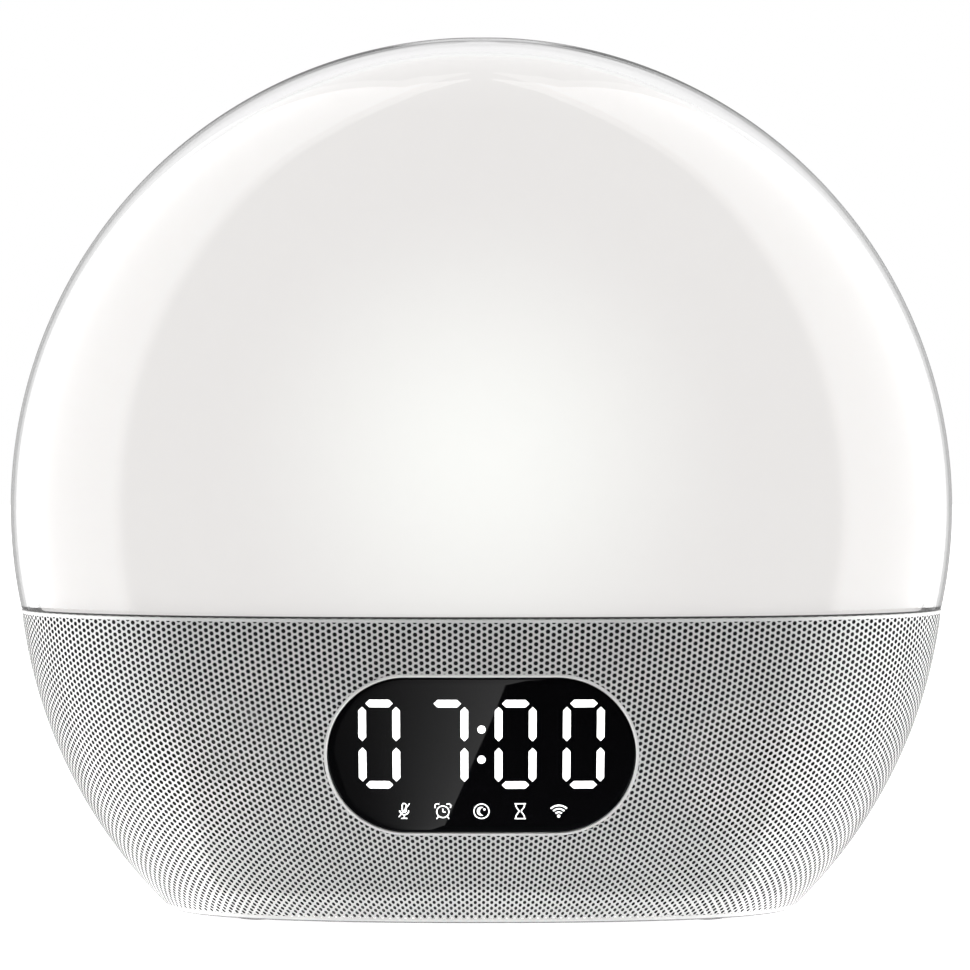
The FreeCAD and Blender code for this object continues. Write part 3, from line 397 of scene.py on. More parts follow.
CLEAR = clear_material()
MILKY = diffuser_material()
LIT = lit_material()
SMOKED = window_material()
METAL = metal_with_painted_hole_shade()
# Darker copy of the grille metal for the foot's bottom edge: painted contact shadow where the clock meets the
# floor
FOOT_SHADOW_METAL = textured("foot_shadow_metal", (0.16, 0.16, 0.16), 0.03, 0.4, 900.0, 0.00001, 0.4)
RIM_METAL = textured("rim_metal", (0.57, 0.57, 0.565), 0.03, 0.34, 900.0, 0.00001, 0.4)
BLACK = textured("black_moulding", (0.022, 0.022, 0.024), 0.15, 0.6, 1600.0, 0.00003)
GREY = textured("grey_moulding", (0.30, 0.30, 0.295), 0.06, 0.5, 1600.0, 0.00003)
WHITE = textured("white_moulding", (0.80, 0.80, 0.79), 0.04, 0.5, 1600.0, 0.00002)
RUBBER = textured("black_rubber", (0.03, 0.03, 0.03), 0.2, 0.8, 1400.0, 0.00004)
STEEL = textured("plated_steel", (0.60, 0.60, 0.61), 0.05, 0.28, 1200.0, 0.00001, 1.0)
BARE = textured("bare_aluminium", (0.75, 0.75, 0.76), 0.04, 0.35, 1200.0, 0.00001, 1.0)
BOARD = textured("green_board", (0.02, 0.16, 0.06), 0.25, 0.4, 700.0, 0.00002)
PAPER = textured("speaker_paper", (0.05, 0.05, 0.05), 0.25, 0.85, 1500.0, 0.00005)
FERRITE = textured("ferrite", (0.06, 0.06, 0.06), 0.2, 0.5, 900.0, 0.00003)
EMITTER = textured("emitter_gel", (0.85, 0.68, 0.22), 0.08, 0.3, 900.0, 0.0)
FILM = textured("ribbon_film", (0.75, 0.77, 0.8), 0.05, 0.35, 900.0, 0.00001)
GASKET = textured("gasket_rubber", (0.09, 0.09, 0.09), 0.1, 0.8, 1400.0, 0.00002)
CHASSIS = dark_material()
NODE_MATERIALS = {"dome_gasket": GASKET, "base_chassis": CHASSIS}
SLOT_MATERIALS = {
    "clear_shell": CLEAR, "milky_diffuser": MILKY, "black_rubber": RUBBER, "grille_metal": METAL,
    "black_plastic": BLACK, "grey_plastic": GREY, "white_plastic": WHITE, "display_black": SMOKED,
    "lit_white": LIT, "bare_aluminium": BARE, "white_board": WHITE, "green_board": BOARD,
    "emitter_yellow": EMITTER, "steel": STEEL, "magnet_black": FERRITE, "speaker_paper": PAPER,
    "speaker_frame": BLACK, "chip_black": BLACK, "ribbon_white": FILM,
}


def dress_nodes():
    """Every CAD node that stays visible gets the material of its slot, or its own where it has one."""
    slots = {part["node"]: part["material_slot"] for part in frame["record"]["subparts"]}
    for name, node in frame["nodes"].items():
        material = NODE_MATERIALS.get(name, SLOT_MATERIALS[slots[name]])
        for index in range(max(1, len(node.material_slots))):
            if not node.material_slots:
                node.data.materials.append(material)
            node.material_slots[index].material = material


def dome_shell(name, inset, wall, material, node):
    """A closed dome wall between two insets, with its flat rim on the gasket."""
    count = 320
    rows = 110
    along = even_plan(count, DOME_RADIUS, DOME_HALF_DEPTH)
    across, deep = plan_point(along)
    points = []
    faces = []
    ends = []
    for side, depth in enumerate((inset, inset + wall)):
        radius = DOME_RADIUS - depth
        start = math.asin((SEAM - DOME_CENTRE) / radius)
        angle = start + (math.pi / 2 - start) * np.linspace(0.0, 1.0, rows + 1)[:-1]
        wide, far, up = dome_sizes(angle, depth)
        rings = np.stack([
            wide[:, None] * across, far[:, None] * deep, up[:, None] + 0 * across,
        ], axis=-1).reshape(-1, 3)
        first = sum(len(block) for block in points)
        points.append(rings)
        points.append(np.array([[0.0, 0.0, DOME_CENTRE + radius]]))
        inner = side == 1
        faces.append(grid(rows, count, first, flip=inner))
        faces.append(fan(first + (rows - 1) * count, count, first + rows * count, flip=inner))
        ends.append(first)
    index = np.arange(count)
    after = (index + 1) % count
    faces.append(np.stack([ends[1] + index, ends[1] + after, ends[0] + after, ends[0] + index], axis=-1))
    piece = new_object(name, np.concatenate(points), faces, material, sharp=50.0)
    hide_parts(node)


def stadium_offset(x, z, width, height, centre_z):
    """Signed distance from a round-ended outline, negative inside it."""
    radius = height / 2
    reach = width / 2 - radius
    along = np.clip(x, -reach, reach)
    return np.hypot(x - along, z - centre_z) - radius


END_POINTS = 96
STRAIGHT_POINTS = 22


def stadium_outline(width, height, grow):
    """Points round a stadium grown by a margin, as offsets from its centre."""
    radius = height / 2
    reach = width / 2 - radius
    turn = np.linspace(-math.pi / 2, math.pi / 2, END_POINTS)
    right = np.stack([reach + (radius + grow) * np.cos(turn), (radius + grow) * np.sin(turn)], axis=-1)
    along = np.linspace(reach, -reach, STRAIGHT_POINTS + 2)[1:-1]
    top = np.stack([along, np.full(STRAIGHT_POINTS, radius + grow)], axis=-1)
    return np.concatenate([right, top, -right, -top])


def clear_of(points, side, width, height, centre_z, margin):
    """Points of the surface, moved along it so that none lies nearer to the opening than the margin."""
    offset = stadium_offset(points[..., 0], points[..., 2], width, height, centre_z)
    near = (offset < margin) & (points[..., 1] * side > 0)
    if not near.any():
        return points
    radius = height / 2
    reach = width / 2 - radius
    flat = points[near][:, [0, 2]]
    heart = np.stack([np.clip(flat[:, 0], -reach, reach), np.full(len(flat), centre_z)], axis=-1)
    away = flat - heart
    away *= (radius + margin) / np.linalg.norm(away, axis=1)[:, None]
    moved = points.copy()
    moved[near] = on_surface(heart + away, side, 0.0)
    return moved


def perforated_skin():
    """The grille's skin with every hole cut, in eight sectors round the base."""
    seam_width, seam_depth = seam_sizes()
    edges = even_plan(HOLE_COLUMNS * 2, seam_width, seam_depth)
    window = (-1, WINDOW_WIDTH, WINDOW_HEIGHT, WINDOW_Z)
    panel = (1, PANEL_WIDTH, PANEL_HEIGHT, PANEL_Z)
    low = BASE_FOOT + FOOT_RIM - RIM_OVERLAP * HOLE_ROW_PITCH
    high = BASE_TOP - TOP_RIM + RIM_OVERLAP * HOLE_ROW_PITCH
    rows = int((high - low) / HOLE_ROW_PITCH)
    pitch = (high - low) / rows
    sector_columns = HOLE_COLUMNS // SECTORS
    ring_z = np.array([0.0, 0.5, 0.5, 0.5, 0.0, -0.5, -0.5, -0.5])
    ring_u = np.array([1, 1, 0, -1, -1, -1, 0, 1])
    sides = len(ring_u)
    hole_turn = np.arange(sides) * 2 * math.pi / sides
    for sector in range(SECTORS):
        columns = np.arange(sector * sector_columns, (sector + 1) * sector_columns)
        column, row = np.meshgrid(columns, np.arange(rows), indexing="ij")
        column = column.ravel()
        row = row.ravel()
        # Every second column is shifted up by half a row
        inside = row < rows - column % 2
        column = column[inside]
        row = row[inside]
        centre_z = low + (row + 0.5 + 0.5 * (column % 2)) * pitch
        along = edges[(2 * column + 1) % (2 * HOLE_COLUMNS)]
        centre = base_points(along, centre_z)
        front = centre[:, 1] < 0
        from_window = stadium_offset(centre[:, 0], centre_z, *window[1:])
        from_panel = stadium_offset(centre[:, 0], centre_z, *panel[1:])
        outside = np.where(front, from_window, from_panel) > WINDOW_GAP + LIP_WIDTH * 0.5
        column = column[outside]
        centre_z = centre_z[outside]
        along = along[outside]
        centre = centre[outside]
        cells = len(column)
        index = (2 * column[:, None] + 1 + ring_u[None, :]) % (2 * HOLE_COLUMNS)
        border = base_points(edges[index], centre_z[:, None] + ring_z[None, :] * pitch)
        side = base_points(edges[(2 * column + 2) % (2 * HOLE_COLUMNS)], centre_z)
        other = base_points(edges[(2 * column) % (2 * HOLE_COLUMNS)], centre_z)
        across = side - other
        cell_width = np.linalg.norm(across, axis=1)
        tangent = across / cell_width[:, None]
        above = base_points(along, centre_z + pitch / 2)
        below = base_points(along, centre_z - pitch / 2)
        rise = above - below
        rise /= np.linalg.norm(rise, axis=1)[:, None]
        outward = np.cross(tangent, rise)
        outward /= np.linalg.norm(outward, axis=1)[:, None]
        half_width = np.minimum(HOLE_RADIUS, HOLE_SHARE * cell_width)[:, None, None]
        hole = centre[:, None, :] + (
            half_width * np.cos(hole_turn)[None, :, None] * tangent[:, None, :]
            + HOLE_RADIUS * np.sin(hole_turn)[None, :, None] * rise[:, None, :]
        )
        for opening in (window, panel):
            border = clear_of(border, *opening, WINDOW_GAP + LIP_WIDTH * 0.4)
            hole = clear_of(hole, *opening, WINDOW_GAP + LIP_WIDTH * 0.5)
        bottom = hole - HOLE_DEPTH * outward[:, None, :]
        points = np.concatenate([border, hole, bottom], axis=1).reshape(-1, 3)
        first = np.arange(cells)[:, None] * 3 * sides
        second = first + sides
        third = second + sides
        step = np.arange(sides)[None, :]
        after = (step + 1) % sides
        ring = np.stack([first + step, first + after, second + after, second + step], axis=-1)
        wall = np.stack([second + step, second + after, third + after, third + step], axis=-1)
        points, quads = welded(points, np.concatenate([ring.reshape(-1, 4), wall.reshape(-1, 4)]))
        # Hole walls get 1 and ring faces 0: the metal paints the walls near-black as painted shade
        shade = np.repeat([0.0, 1.0], cells * sides)
        name = "grille_skin_%d" % (sector + 1)
        piece = new_object(name, points, [quads], METAL, sharp=30.0, shade=shade)
        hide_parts("grille_shell")


def welded(points, faces, step=2e-6):
    """Joins points that coincide."""
    keys = np.round(points / step).astype(np.int64)
    _, first, back = np.unique(keys, axis=0, return_index=True, return_inverse=True)
    return points[first], back.ravel()[faces]


def base_band(name, heights, prouds, material):
    """A plain band round the base through rings at the given heights and prouds."""
    count = 480
    seam_width, seam_depth = seam_sizes()
    along = even_plan(count, seam_width, seam_depth)
    rings = [base_points(along, np.full(count, height), proud) for height, proud in zip(heights, prouds)]
    faces = [grid(len(rings), count)]
    piece = new_object(name, np.concatenate(rings), faces, material, sharp=30.0)
    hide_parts("grille_shell")


def on_surface(flat, side, proud):
    """Points at x, z on the front (-1) or rear (1) surface of the base, moved outwards by proud."""
    x = flat[:, 0]
    z = flat[:, 1]
    depth = surface_depth(x, z) + proud
    return np.stack([x, side * depth, z], axis=-1)


def outline_rings(side, width, height, centre_z, profile):
    """Rings on the surface round a stadium outline; profile lists (growth, proud) for each."""
    rings = []
    for grow, proud in profile:
        flat = stadium_outline(width, height, grow) + np.array([0.0, centre_z])
        rings.append(on_surface(flat, side, proud))
    return rings


def opening_lip(name, side, width, height, centre_z):
    """The plain lip of the grille round an opening, rolled inwards."""
    gap = WINDOW_GAP
    outer = gap + LIP_WIDTH
    profile = [
        (outer, -RIM_TUCK), (outer, RIM_PROUD), (gap + 0.2 * MM, RIM_PROUD + 0.03 * MM),
        (gap, -RIM_TUCK), (gap, -1.0 * MM),
    ]
    rings = outline_rings(side, width, height, centre_z, profile)
    faces = [grid(len(rings), len(rings[0]), flip=side > 0)]
    piece = new_object(name, np.concatenate(rings), faces, RIM_METAL, sharp=35.0)
    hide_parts("grille_shell")


def window_cover():
    """The smoked cover, with its bevelled edge, as one closed piece."""
    bevel = 0.35 * MM
    drop = 0.1 * MM
    thickness = 2.0 * MM
    half = WINDOW_HEIGHT / 2
    profile = [(-half, -thickness), (0.0, -thickness), (0.0, -drop), (-0.5 * bevel, -0.3 * drop), (-bevel, 0.0)]
    profile += [(-bevel - (half - bevel) * share, 0.0) for share in np.linspace(0.06, 1.0, 16)]
    rings = outline_rings(-1, WINDOW_WIDTH, WINDOW_HEIGHT, WINDOW_Z, profile)
    points, quads = welded(np.concatenate(rings), grid(len(rings), len(rings[0])))
    start = quads[:, 0] == quads[:, 1]
    end = quads[:, 2] == quads[:, 3]
    faces = [quads[~(start | end)], quads[start & ~end][:, 1:], quads[end & ~start][:, :3]]
    piece = new_object("window_cover", points, faces, SMOKED, sharp=12.0)
    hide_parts("display_window")
    return piece


class Decal:
    """Flat shapes in x, z that are laid on the base's surface as one thin piece."""

    def __init__(self):
        self.loops = []

    def polygon(self, points):
        self.loops.append(np.asarray(points, dtype=float))

    def disc(self, x, z, radius, count=28):
        turn = np.linspace(0.0, 2 * math.pi, count, endpoint=False)
        self.polygon(np.stack([x + radius * np.cos(turn), z + radius * np.sin(turn)], axis=-1))

    def strip(self, rows):
        """Quads between neighbouring rows, each row being the two ends of one cross-section."""
        for (one, two), (three, four) in zip(rows[:-1], rows[1:]):
            self.polygon([one, two, four, three])

    def line(self, points, width):
        points = np.asarray(points, dtype=float)
        for start, end in zip(points[:-1], points[1:]):
            along = (end - start) / np.linalg.norm(end - start)
            side = np.array([-along[1], along[0]]) * width / 2
            self.polygon([start - side, end - side, end + side, start + side])

    def arc(self, x, z, radius, start, end, width, count=24):
        turn = np.radians(np.linspace(start, end, count))
        away = np.stack([np.cos(turn), np.sin(turn)], axis=-1)
        middle = np.array([x, z])
        self.strip(list(zip(middle + (radius - width / 2) * away, middle + (radius + width / 2) * away)))

    def build(self, name, side, proud, thickness, material, body=BODY, node=None):
        points = []
        faces = []
        start = 0
        for loop in self.loops:
            area = np.sum(loop[:, 0] * np.roll(loop[:, 1], -1) - np.roll(loop[:, 0], -1) * loop[:, 1])
            if (area < 0) == (side < 0):
                loop = loop[::-1]
            count = len(loop)
            points.append(on_surface(loop, side, proud))
            points.append(on_surface(loop, side, proud - thickness))
            index = start + np.arange(count)
            after = start + (np.arange(count) + 1) % count
            faces.append(index[None, :])
            faces.append(count + index[None, ::-1])
            faces.append(np.stack([index, count + index, count + after, after], axis=-1))
            start += 2 * count
        piece = new_object(name, np.concatenate(points), faces, material, body, smooth=False)
        if node:
            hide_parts(node)
        return piece


def segment(decal, x, z, length, upright):
    """A bar with a point at each end, in short steps so that it follows the window's curve."""
    half = length / 2
    stroke = DIGIT_STROKE / 2
    point = 0.02 * MM
    steps = [(-half, point)] + [(along, stroke) for along in np.linspace(stroke - half, half - stroke, 7)]
    steps.append((half, point))
    if upright:
        decal.strip([((x - side, z + along), (x + side, z + along)) for along, side in steps])
    else:
        decal.strip([((x + along, z - side), (x + along, z + side)) for along, side in steps])


def digits():
    """Seven o'clock in lit segments, lettered a to g clockwise from the top with g in the middle."""
    decal = Decal()
    wide = (DIGIT_WIDTH - DIGIT_STROKE) / 2
    tall = (DIGIT_HEIGHT - DIGIT_STROKE) / 2
    across = 2 * wide - SEGMENT_SPLIT
    upright = tall - SEGMENT_SPLIT
    layout = {
        "a": (0, tall, across, False),
        "b": (wide, tall / 2, upright, True),
        "c": (wide, -tall / 2, upright, True),
        "d": (0, -tall, across, False),
        "e": (-wide, -tall / 2, upright, True),
        "f": (-wide, tall / 2, upright, True),
    }
    for index, letters in enumerate(("abcdef", "abc", "abcdef", "abcdef")):
        middle = (index - 1.5) * DIGIT_PITCH
        for letter in letters:
            right, up, length, is_upright = layout[letter]
            segment(decal, middle + right, DIGIT_Z + up, length, is_upright)
    for rise in (-COLON_RISE, COLON_RISE):
        decal.disc(0.0, DIGIT_Z + rise, COLON_RADIUS)
    decal.build("lit_digits", -1, DECAL_PROUD, 0.3 * MM, LIT, node="time_digits")


def icons():
    """Plain pictograms under the time: microphone off, alarm, night, timer and radio signal."""
    decal = Decal()
    unit = ICON_HEIGHT / 16.0
    thin = 1.05 * unit
    x = -2 * ICON_PITCH
    for side in (-1, 1):
        edge = x + side * 1.9 * unit
        decal.line([(edge, ICON_Z + 0.6 * unit), (edge, ICON_Z + 5.6 * unit)], thin)
    decal.arc(x, ICON_Z + 5.6 * unit, 1.9 * unit, 0, 180, thin)
    decal.arc(x, ICON_Z + 0.6 * unit, 1.9 * unit, 180, 360, thin)
    decal.arc(x, ICON_Z + 0.6 * unit, 4.3 * unit, 180, 360, thin)
    decal.line([(x, ICON_Z - 4.0 * unit), (x, ICON_Z - 7.0 * unit)], thin)
    decal.line([(x - 3.0 * unit, ICON_Z - 7.3 * unit), (x + 3.0 * unit, ICON_Z - 7.3 * unit)], thin)
    decal.line([(x - 5.2 * unit, ICON_Z - 6.0 * unit), (x + 5.2 * unit, ICON_Z + 7.6 * unit)], thin)
    x = -ICON_PITCH
    decal.arc(x, ICON_Z - 0.6 * unit, 5.8 * unit, 0, 360, thin, 40)
    hub = ICON_Z - 0.8 * unit
    decal.line([(x, ICON_Z + 2.6 * unit), (x, hub), (x + 2.6 * unit, hub)], thin)
    decal.arc(x - 5.2 * unit, ICON_Z + 5.0 * unit, 2.4 * unit, 45, 225, thin)
    decal.arc(x + 5.2 * unit, ICON_Z + 5.0 * unit, 2.4 * unit, -45, 135, thin)
    decal.line([(x - 4.0 * unit, ICON_Z - 5.0 * unit), (x - 6.0 * unit, ICON_Z - 7.6 * unit)], thin)
    decal.line([(x + 4.0 * unit, ICON_Z - 5.0 * unit), (x + 6.0 * unit, ICON_Z - 7.6 * unit)], thin)
    decal.arc(0.0, ICON_Z, 7.2 * unit, 0, 360, thin, 44)
    outer = np.radians(np.linspace(70, 290, 24))
    inner = np.radians(np.linspace(262, 98, 24))
    crescent = [(4.4 * unit * math.cos(turn), ICON_Z + 4.4 * unit * math.sin(turn)) for turn in outer]
    crescent += [
        (2.2 * unit + 3.9 * unit * math.cos(turn), ICON_Z + 3.9 * unit * math.sin(turn)) for turn in inner
    ]
    decal.strip([(crescent[index], crescent[47 - index]) for index in range(24)])
    decal.disc(2.8 * unit, ICON_Z + 1.8 * unit, 1.1 * unit, 12)
    x = ICON_PITCH
    for sign in (-1, 1):
        cap = ICON_Z + sign * 7.4 * unit
        decal.line([(x - 5.4 * unit, cap), (x + 5.4 * unit, cap)], thin)
        for side in (-1, 1):
            wall = x + side * 4.0 * unit
            decal.line([
                (wall, ICON_Z + sign * 7.0 * unit), (wall, ICON_Z + sign * 4.6 * unit),
                (x + side * 0.8 * unit, ICON_Z),
            ], thin)
    x = 2 * ICON_PITCH
    for radius in (4.0, 7.4, 10.8):
        decal.arc(x, ICON_Z - 5.2 * unit, radius * unit, 45, 135, 1.5 * unit)
    decal.disc(x, ICON_Z - 5.0 * unit, 1.5 * unit)
    decal.build("status_icons", -1, DECAL_PROUD, 0.2 * MM, LIT)


MARK_PROUD = 0.86 * MM
MARK_THICKNESS = 0.12 * MM


def button_marks():
    """Moulded marks on the rear buttons: lamp, bell, note, minus and plus."""
    names = ["light_button", "alarm_button", "sound_button", "volume_down_button", "volume_up_button"]
    for name in names:
        low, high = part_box(name)
        x = (low[0] + high[0]) / 2
        z = (low[2] + high[2]) / 2
        unit = 0.32 * MM
        decal = Decal()
        if name == "light_button":
            decal.disc(x, z, 2.2 * unit, 20)
            for turn in range(0, 360, 45):
                cos = math.cos(math.radians(turn))
                sin = math.sin(math.radians(turn))
                ray = [(x + reach * unit * cos, z + reach * unit * sin) for reach in (3.4, 5.2)]
                decal.line(ray, unit)
        elif name == "alarm_button":
            decal.arc(x, z, 3.6 * unit, 0, 360, unit, 28)
            decal.line([(x, z + 2.2 * unit), (x, z), (x + 1.8 * unit, z)], 0.9 * unit)
            decal.arc(x - 3.6 * unit, z + 3.6 * unit, 1.5 * unit, 45, 225, unit, 10)
            decal.arc(x + 3.6 * unit, z + 3.6 * unit, 1.5 * unit, -45, 135, unit, 10)
        elif name == "sound_button":
            decal.disc(x + 1.6 * unit, z - 3.2 * unit, 1.7 * unit, 16)
            decal.line([(x + 0.2 * unit, z - 3.2 * unit), (x + 0.2 * unit, z + 4.2 * unit)], unit)
            decal.line([(x + 0.2 * unit, z + 4.0 * unit), (x - 2.8 * unit, z + 2.4 * unit)], 1.3 * unit)
        else:
            decal.line([(x - 3.6 * unit, z), (x + 3.6 * unit, z)], 1.2 * unit)
            if name == "volume_up_button":
                decal.line([(x, z + 0.6 * unit), (x, z + 3.6 * unit)], 1.2 * unit)
                decal.line([(x, z - 3.6 * unit), (x, z - 0.6 * unit)], 1.2 * unit)
        decal.build(name + "_mark", 1, MARK_PROUD, MARK_THICKNESS, WHITE, body=name)


def add_grille():
    """The perforated skin, its plain rims at the seam and the foot, with the foot's bottom edge painted dark as
    painted shadow, and the lips of its openings.
    """
    perforated_skin()
    rim = RIM_PROUD
    low = BASE_TOP - TOP_RIM
    top = BASE_TOP + SEAM_COVER
    heights = [low, low, top - RIM_TUCK, top, top]
    base_band("grille_top_rim", heights, [-RIM_TUCK, rim, rim, rim - RIM_TUCK, -1.0 * MM], RIM_METAL)
    # The foot's lowest band is painted dark: painted shadow along its bottom edge
    edge = BASE_FOOT + 2 * EDGE_ROUND
    heights = [BASE_FOOT, BASE_FOOT, BASE_FOOT + EDGE_ROUND, edge]
    base_band("grille_foot_shadow_edge", heights, [-FOOT_HEM, rim - EDGE_ROUND, rim, rim], FOOT_SHADOW_METAL)
    high = BASE_FOOT + FOOT_RIM
    base_band("grille_foot_rim", [edge, high, high], [rim, rim, -RIM_TUCK], METAL)
    opening_lip("window_lip", -1, WINDOW_WIDTH, WINDOW_HEIGHT, WINDOW_Z)
    opening_lip("panel_lip", 1, PANEL_WIDTH, PANEL_HEIGHT, PANEL_Z)


def tree_node(tree, kind, **values):
    node = tree.nodes.new(kind)
    for name, value in values.items():
        setattr(node, name, value)
    return node


WORLD_LIGHT = 0.42
WORLD_MIRRORED = [(0.40, 0.0), (0.66, 0.75), (0.90, 0.60), (1.00, 0.35)]
WORLD_BEHIND = [(0.960, 1.0), (0.968, 0.48), (0.976, 0.48), (0.986, 1.0)]


def ray_levels(tree, turn, stops):
    """A level read off a ray's direction; turn runs from 0 for -Y, the front, to 1 for +Y."""
    ramp = tree_node(tree, "ShaderNodeValToRGB")
    elements = ramp.color_ramp.elements
    while len(elements) < len(stops):
        elements.new(1.0)
    for element, (position, level) in zip(elements, stops):
        element.position = position
        element.color = (level, level, level, 1.0)
    tree.links.new(turn.outputs["Result"], ramp.inputs["Fac"])
    return ramp.outputs["Color"]


def level_mix(tree, factor, low, high):
    """One level where the factor is 0 and another where it is 1 or more; each is a number or a socket."""
    mix = tree_node(tree, "ShaderNodeMix")
    tree.links.new(factor, mix.inputs["Factor"])
    for entry, level in (("A", low), ("B", high)):
        if isinstance(level, float):
            mix.inputs[entry].default_value = level
        else:
            tree.links.new(level, mix.inputs[entry])
    return mix.outputs["Result"]


def add_world():
    """White where it is seen, even light elsewhere, and mirrored only from behind, as the front is dark.

    A darker ring, seen only through the clear dome, draws the thin grey lines inside its edge.
    """
    world = bpy.data.worlds.new("studio")
    bpy.context.scene.world = world
    world.use_nodes = True
    tree = world.node_tree
    background = tree.nodes["Background"]
    background.inputs["Color"].default_value = (1.0, 1.0, 1.0, 1.0)
    path = tree_node(tree, "ShaderNodeLightPath")
    direction = tree_node(tree, "ShaderNodeTexCoord")
    parts = tree_node(tree, "ShaderNodeSeparateXYZ")
    tree.links.new(direction.outputs["Generated"], parts.inputs["Vector"])
    turn = tree_node(tree, "ShaderNodeMapRange")
    turn.inputs["From Min"].default_value = -1.0
    tree.links.new(parts.outputs["Y"], turn.inputs["Value"])
    mirrored = ray_levels(tree, turn, WORLD_MIRRORED)
    behind = ray_levels(tree, turn, WORLD_BEHIND)
    # What a matt surface gathers through the clear dome comes evenly from all round
    through = level_mix(tree, path.outputs["Diffuse Depth"], behind, 1.0)
    strength = level_mix(tree, path.outputs["Is Glossy Ray"], WORLD_LIGHT, mirrored)
    strength = level_mix(tree, path.outputs["Is Transmission Ray"], strength, through)
    strength = level_mix(tree, path.outputs["Is Camera Ray"], strength, 1.0)
    tree.links.new(strength, background.inputs["Strength"])


def staged_sheet(name, points, faces, material):
    """A sheet of the studio, which isn't part of the clock."""
    mesh = bpy.data.meshes.new(name)
    mesh.from_pydata(points, [], faces)
    mesh.materials.append(material)
    sheet = bpy.data.objects.new(name, mesh)
    bpy.context.scene.collection.objects.link(sheet)
    return sheet


FLOOR_SIZE = 6.0


def add_floor():
    """A white floor that is only looked at: the studio's light reaches the clock as if it were not there."""
    material, shader = new_material("floor_white", (0.9, 0.9, 0.9), 0.9)
    shader.inputs["Specular IOR Level"].default_value = 0.0
    path = add_node(material, "ShaderNodeLightPath")
    shader.inputs["Emission Color"].default_value = (1.0, 1.0, 1.0, 1.0)
    join(material, path, "Is Camera Ray", shader, "Emission Strength")
    size = FLOOR_SIZE
    corners = [(-size, -size, 0), (size, -size, 0), (size, size, 0), (-size, size, 0)]
    floor = staged_sheet("floor", corners, [(0, 1, 2, 3)], material)
    floor.visible_glossy = False
    floor.visible_transmission = False
    floor.visible_shadow = False


def glow_material(name, low, high, power=1.0):
    """Light whose strength rises from low to high with the glow stored on the sheet's corners."""
    material = bpy.data.materials.new(name)
    material.use_nodes = True
    tree = material.node_tree
    tree.nodes.clear()
    source = tree_node(tree, "ShaderNodeAttribute", attribute_name="glow")
    shape = tree_node(tree, "ShaderNodeMath", operation="POWER")
    shape.inputs[1].default_value = power
    tree.links.new(source.outputs["Fac"], shape.inputs[0])
    rise = tree_node(tree, "ShaderNodeMapRange")
    rise.inputs["To Min"].default_value = low
    rise.inputs["To Max"].default_value = high
    tree.links.new(shape.outputs[0], rise.inputs["Value"])
    # Through the clear dome the sheet is as white as the world, and its glow is added to that
    path = tree_node(tree, "ShaderNodeLightPath")
    added = tree_node(tree, "ShaderNodeMath", operation="ADD")
    added.inputs[1].default_value = 1.0
    tree.links.new(rise.outputs["Result"], added.inputs[0])
    through = level_mix(tree, path.outputs["Diffuse Depth"], added.outputs[0], 1.0)
    strength = level_mix(tree, path.outputs["Is Transmission Ray"], rise.outputs["Result"], through)
    light = tree_node(tree, "ShaderNodeEmission")
    tree.links.new(strength, light.inputs["Strength"])
    output = tree_node(tree, "ShaderNodeOutputMaterial")
    tree.links.new(light.outputs["Emission"], output.inputs["Surface"])
    return material


def glow_sheet(name, columns, glow, material):
    """A sheet through columns of points, each column with one value of glow along it."""
    rows = len(columns[0])
    points = [point for column in columns for point in column]
    sheet = staged_sheet(name, points, grid(len(columns), rows, closed=False).tolist(), material)
    values = sheet.data.attributes.new("glow", "FLOAT", "POINT")
    values.data.foreach_set("value", np.repeat(glow, rows))
    # It shows in reflections and lights nothing else
    sheet.visible_camera = False
    sheet.visible_diffuse = False
    sheet.visible_transmission = False
    sheet.visible_shadow = False
    sheet.visible_volume_scatter = False
    return sheet


def area_light(name, place, target, size, power):
    """A rectangular lamp; size is its width and height. It isn't mirrored, nor seen through the dome."""
    data = bpy.data.lights.new(name, "AREA")
    data.shape = "RECTANGLE"
    data.size, data.size_y = size
    data.energy = power
    lamp = bpy.data.objects.new(name, data)
    bpy.context.scene.collection.objects.link(lamp)
    lamp.location = place
    lamp.rotation_euler = (Vector(target) - Vector(place)).to_track_quat("-Z", "Y").to_euler()
    lamp.visible_glossy = False
    lamp.visible_transmission = False


SIDE_DISTANCE = 1.0
SIDE_GLOW = 1.25
SIDE_EDGE = [
    (-0.57, -1.4), (-0.57, 1.1), (-0.53, 1.9), (-0.50, 3.2), (-0.31, 5.0),
    (0.11, 7.4), (1.0, 11.0), (2.0, 16.0), (6.5, 34.0), (14.0, 64.0),
]
SIDE_BACK = 1.3
SIDE_SPAN = 1.2
SIDE_SOFTNESS = 0.05
WINDOW_CARD_Y = -0.9
WINDOW_CARD_LEFT = -0.30
WINDOW_CARD_STEPS = 9
WINDOW_CARD_EDGE = [
    (0.097, 0.0), (0.060, -0.20), (0.039, -0.314), (-0.009, -0.613),
    (-0.083, -1.13), (-0.106, -1.35), (-0.14, -1.65),
]


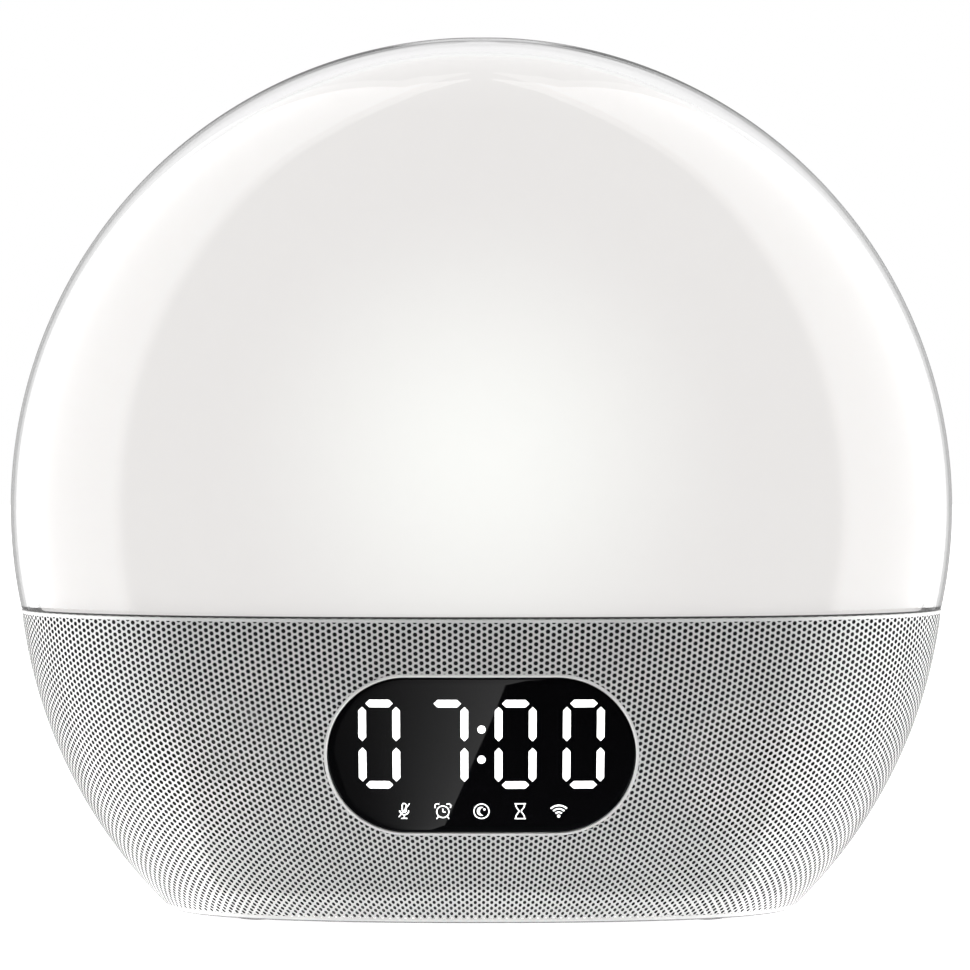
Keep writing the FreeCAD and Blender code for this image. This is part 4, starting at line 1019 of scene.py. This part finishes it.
def add_side_cards():
    """Tall softboxes on both sides, whose mirrored front edges make the pointed arch on the dome."""
    material = glow_material("softbox", 0.0, SIDE_GLOW)
    for side in (-1, 1):
        x = side * SIDE_DISTANCE
        columns = [
            [(x, y - SIDE_SOFTNESS, z) for y, z in SIDE_EDGE],
            [(x, y + SIDE_SOFTNESS, z) for y, z in SIDE_EDGE],
            [(x, max(SIDE_BACK, y + SIDE_SPAN), z) for y, z in SIDE_EDGE],
        ]
        card = glow_sheet("side_card", columns, (0.0, 1.0, 1.0), material)
        card.visible_transmission = True


def add_window_card(window):
    """The sloping light patch that only the display window mirrors, fading to the left."""
    shares = np.linspace(0.0, 1.0, WINDOW_CARD_STEPS)
    left = WINDOW_CARD_LEFT
    columns = [
        [(left + share * (x - left), WINDOW_CARD_Y, z) for x, z in WINDOW_CARD_EDGE] for share in shares
    ]
    material = glow_material("window_patch", 0.08, 0.9, power=2.0)
    card = glow_sheet("window_card", columns, shares, material)
    receivers = bpy.data.collections.new("window_only")
    receivers.objects.link(window)
    card.light_linking.receiver_collection = receivers


LIGHT_TARGET = (0.0, 0.0, 0.07)


def add_lights():
    """Two lamps from the sides and the bounce from the table below."""
    for side in (-1, 1):
        area_light("side_box", (side * 0.8, 0.12, 0.1), LIGHT_TARGET, (0.5, 0.9), 14.5)
    area_light("floor_bounce", (0.0, -0.12, -0.5), LIGHT_TARGET, (0.7, 0.5), 26.0)


def add_camera():
    """The photograph's view, turned so that the clock's axis and the horizon lie where they do there."""
    pixels_per_radian = LENS / SENSOR * FRAME_PIXELS
    middle = FRAME_PIXELS / 2
    data = bpy.data.cameras.new("camera")
    data.lens = LENS
    data.sensor_width = SENSOR
    camera = bpy.data.objects.new("camera", data)
    bpy.context.scene.collection.objects.link(camera)
    camera.location = (0.0, -CAMERA_DISTANCE, CAMERA_HEIGHT)
    tilt = math.atan((middle - HORIZON_ROW) / pixels_per_radian)
    turn = math.atan((middle - AXIS_COLUMN) / pixels_per_radian)
    camera.rotation_euler = (math.pi / 2 - tilt, 0.0, -turn)
    bpy.context.scene.camera = camera


dress_nodes()
dome_shell("clear_dome", 0.0, DOME_WALL, CLEAR, "outer_dome")
dome_shell("milky_dome", DOME_WALL + DOME_GAP, DIFFUSER_WALL, MILKY, "diffuser_dome")
add_grille()
cover = window_cover()
digits()
icons()
button_marks()
add_world()
add_floor()
add_lights()
add_side_cards()
add_window_card(cover)
add_camera()
bpy.context.scene.view_settings.view_transform = "Standard"
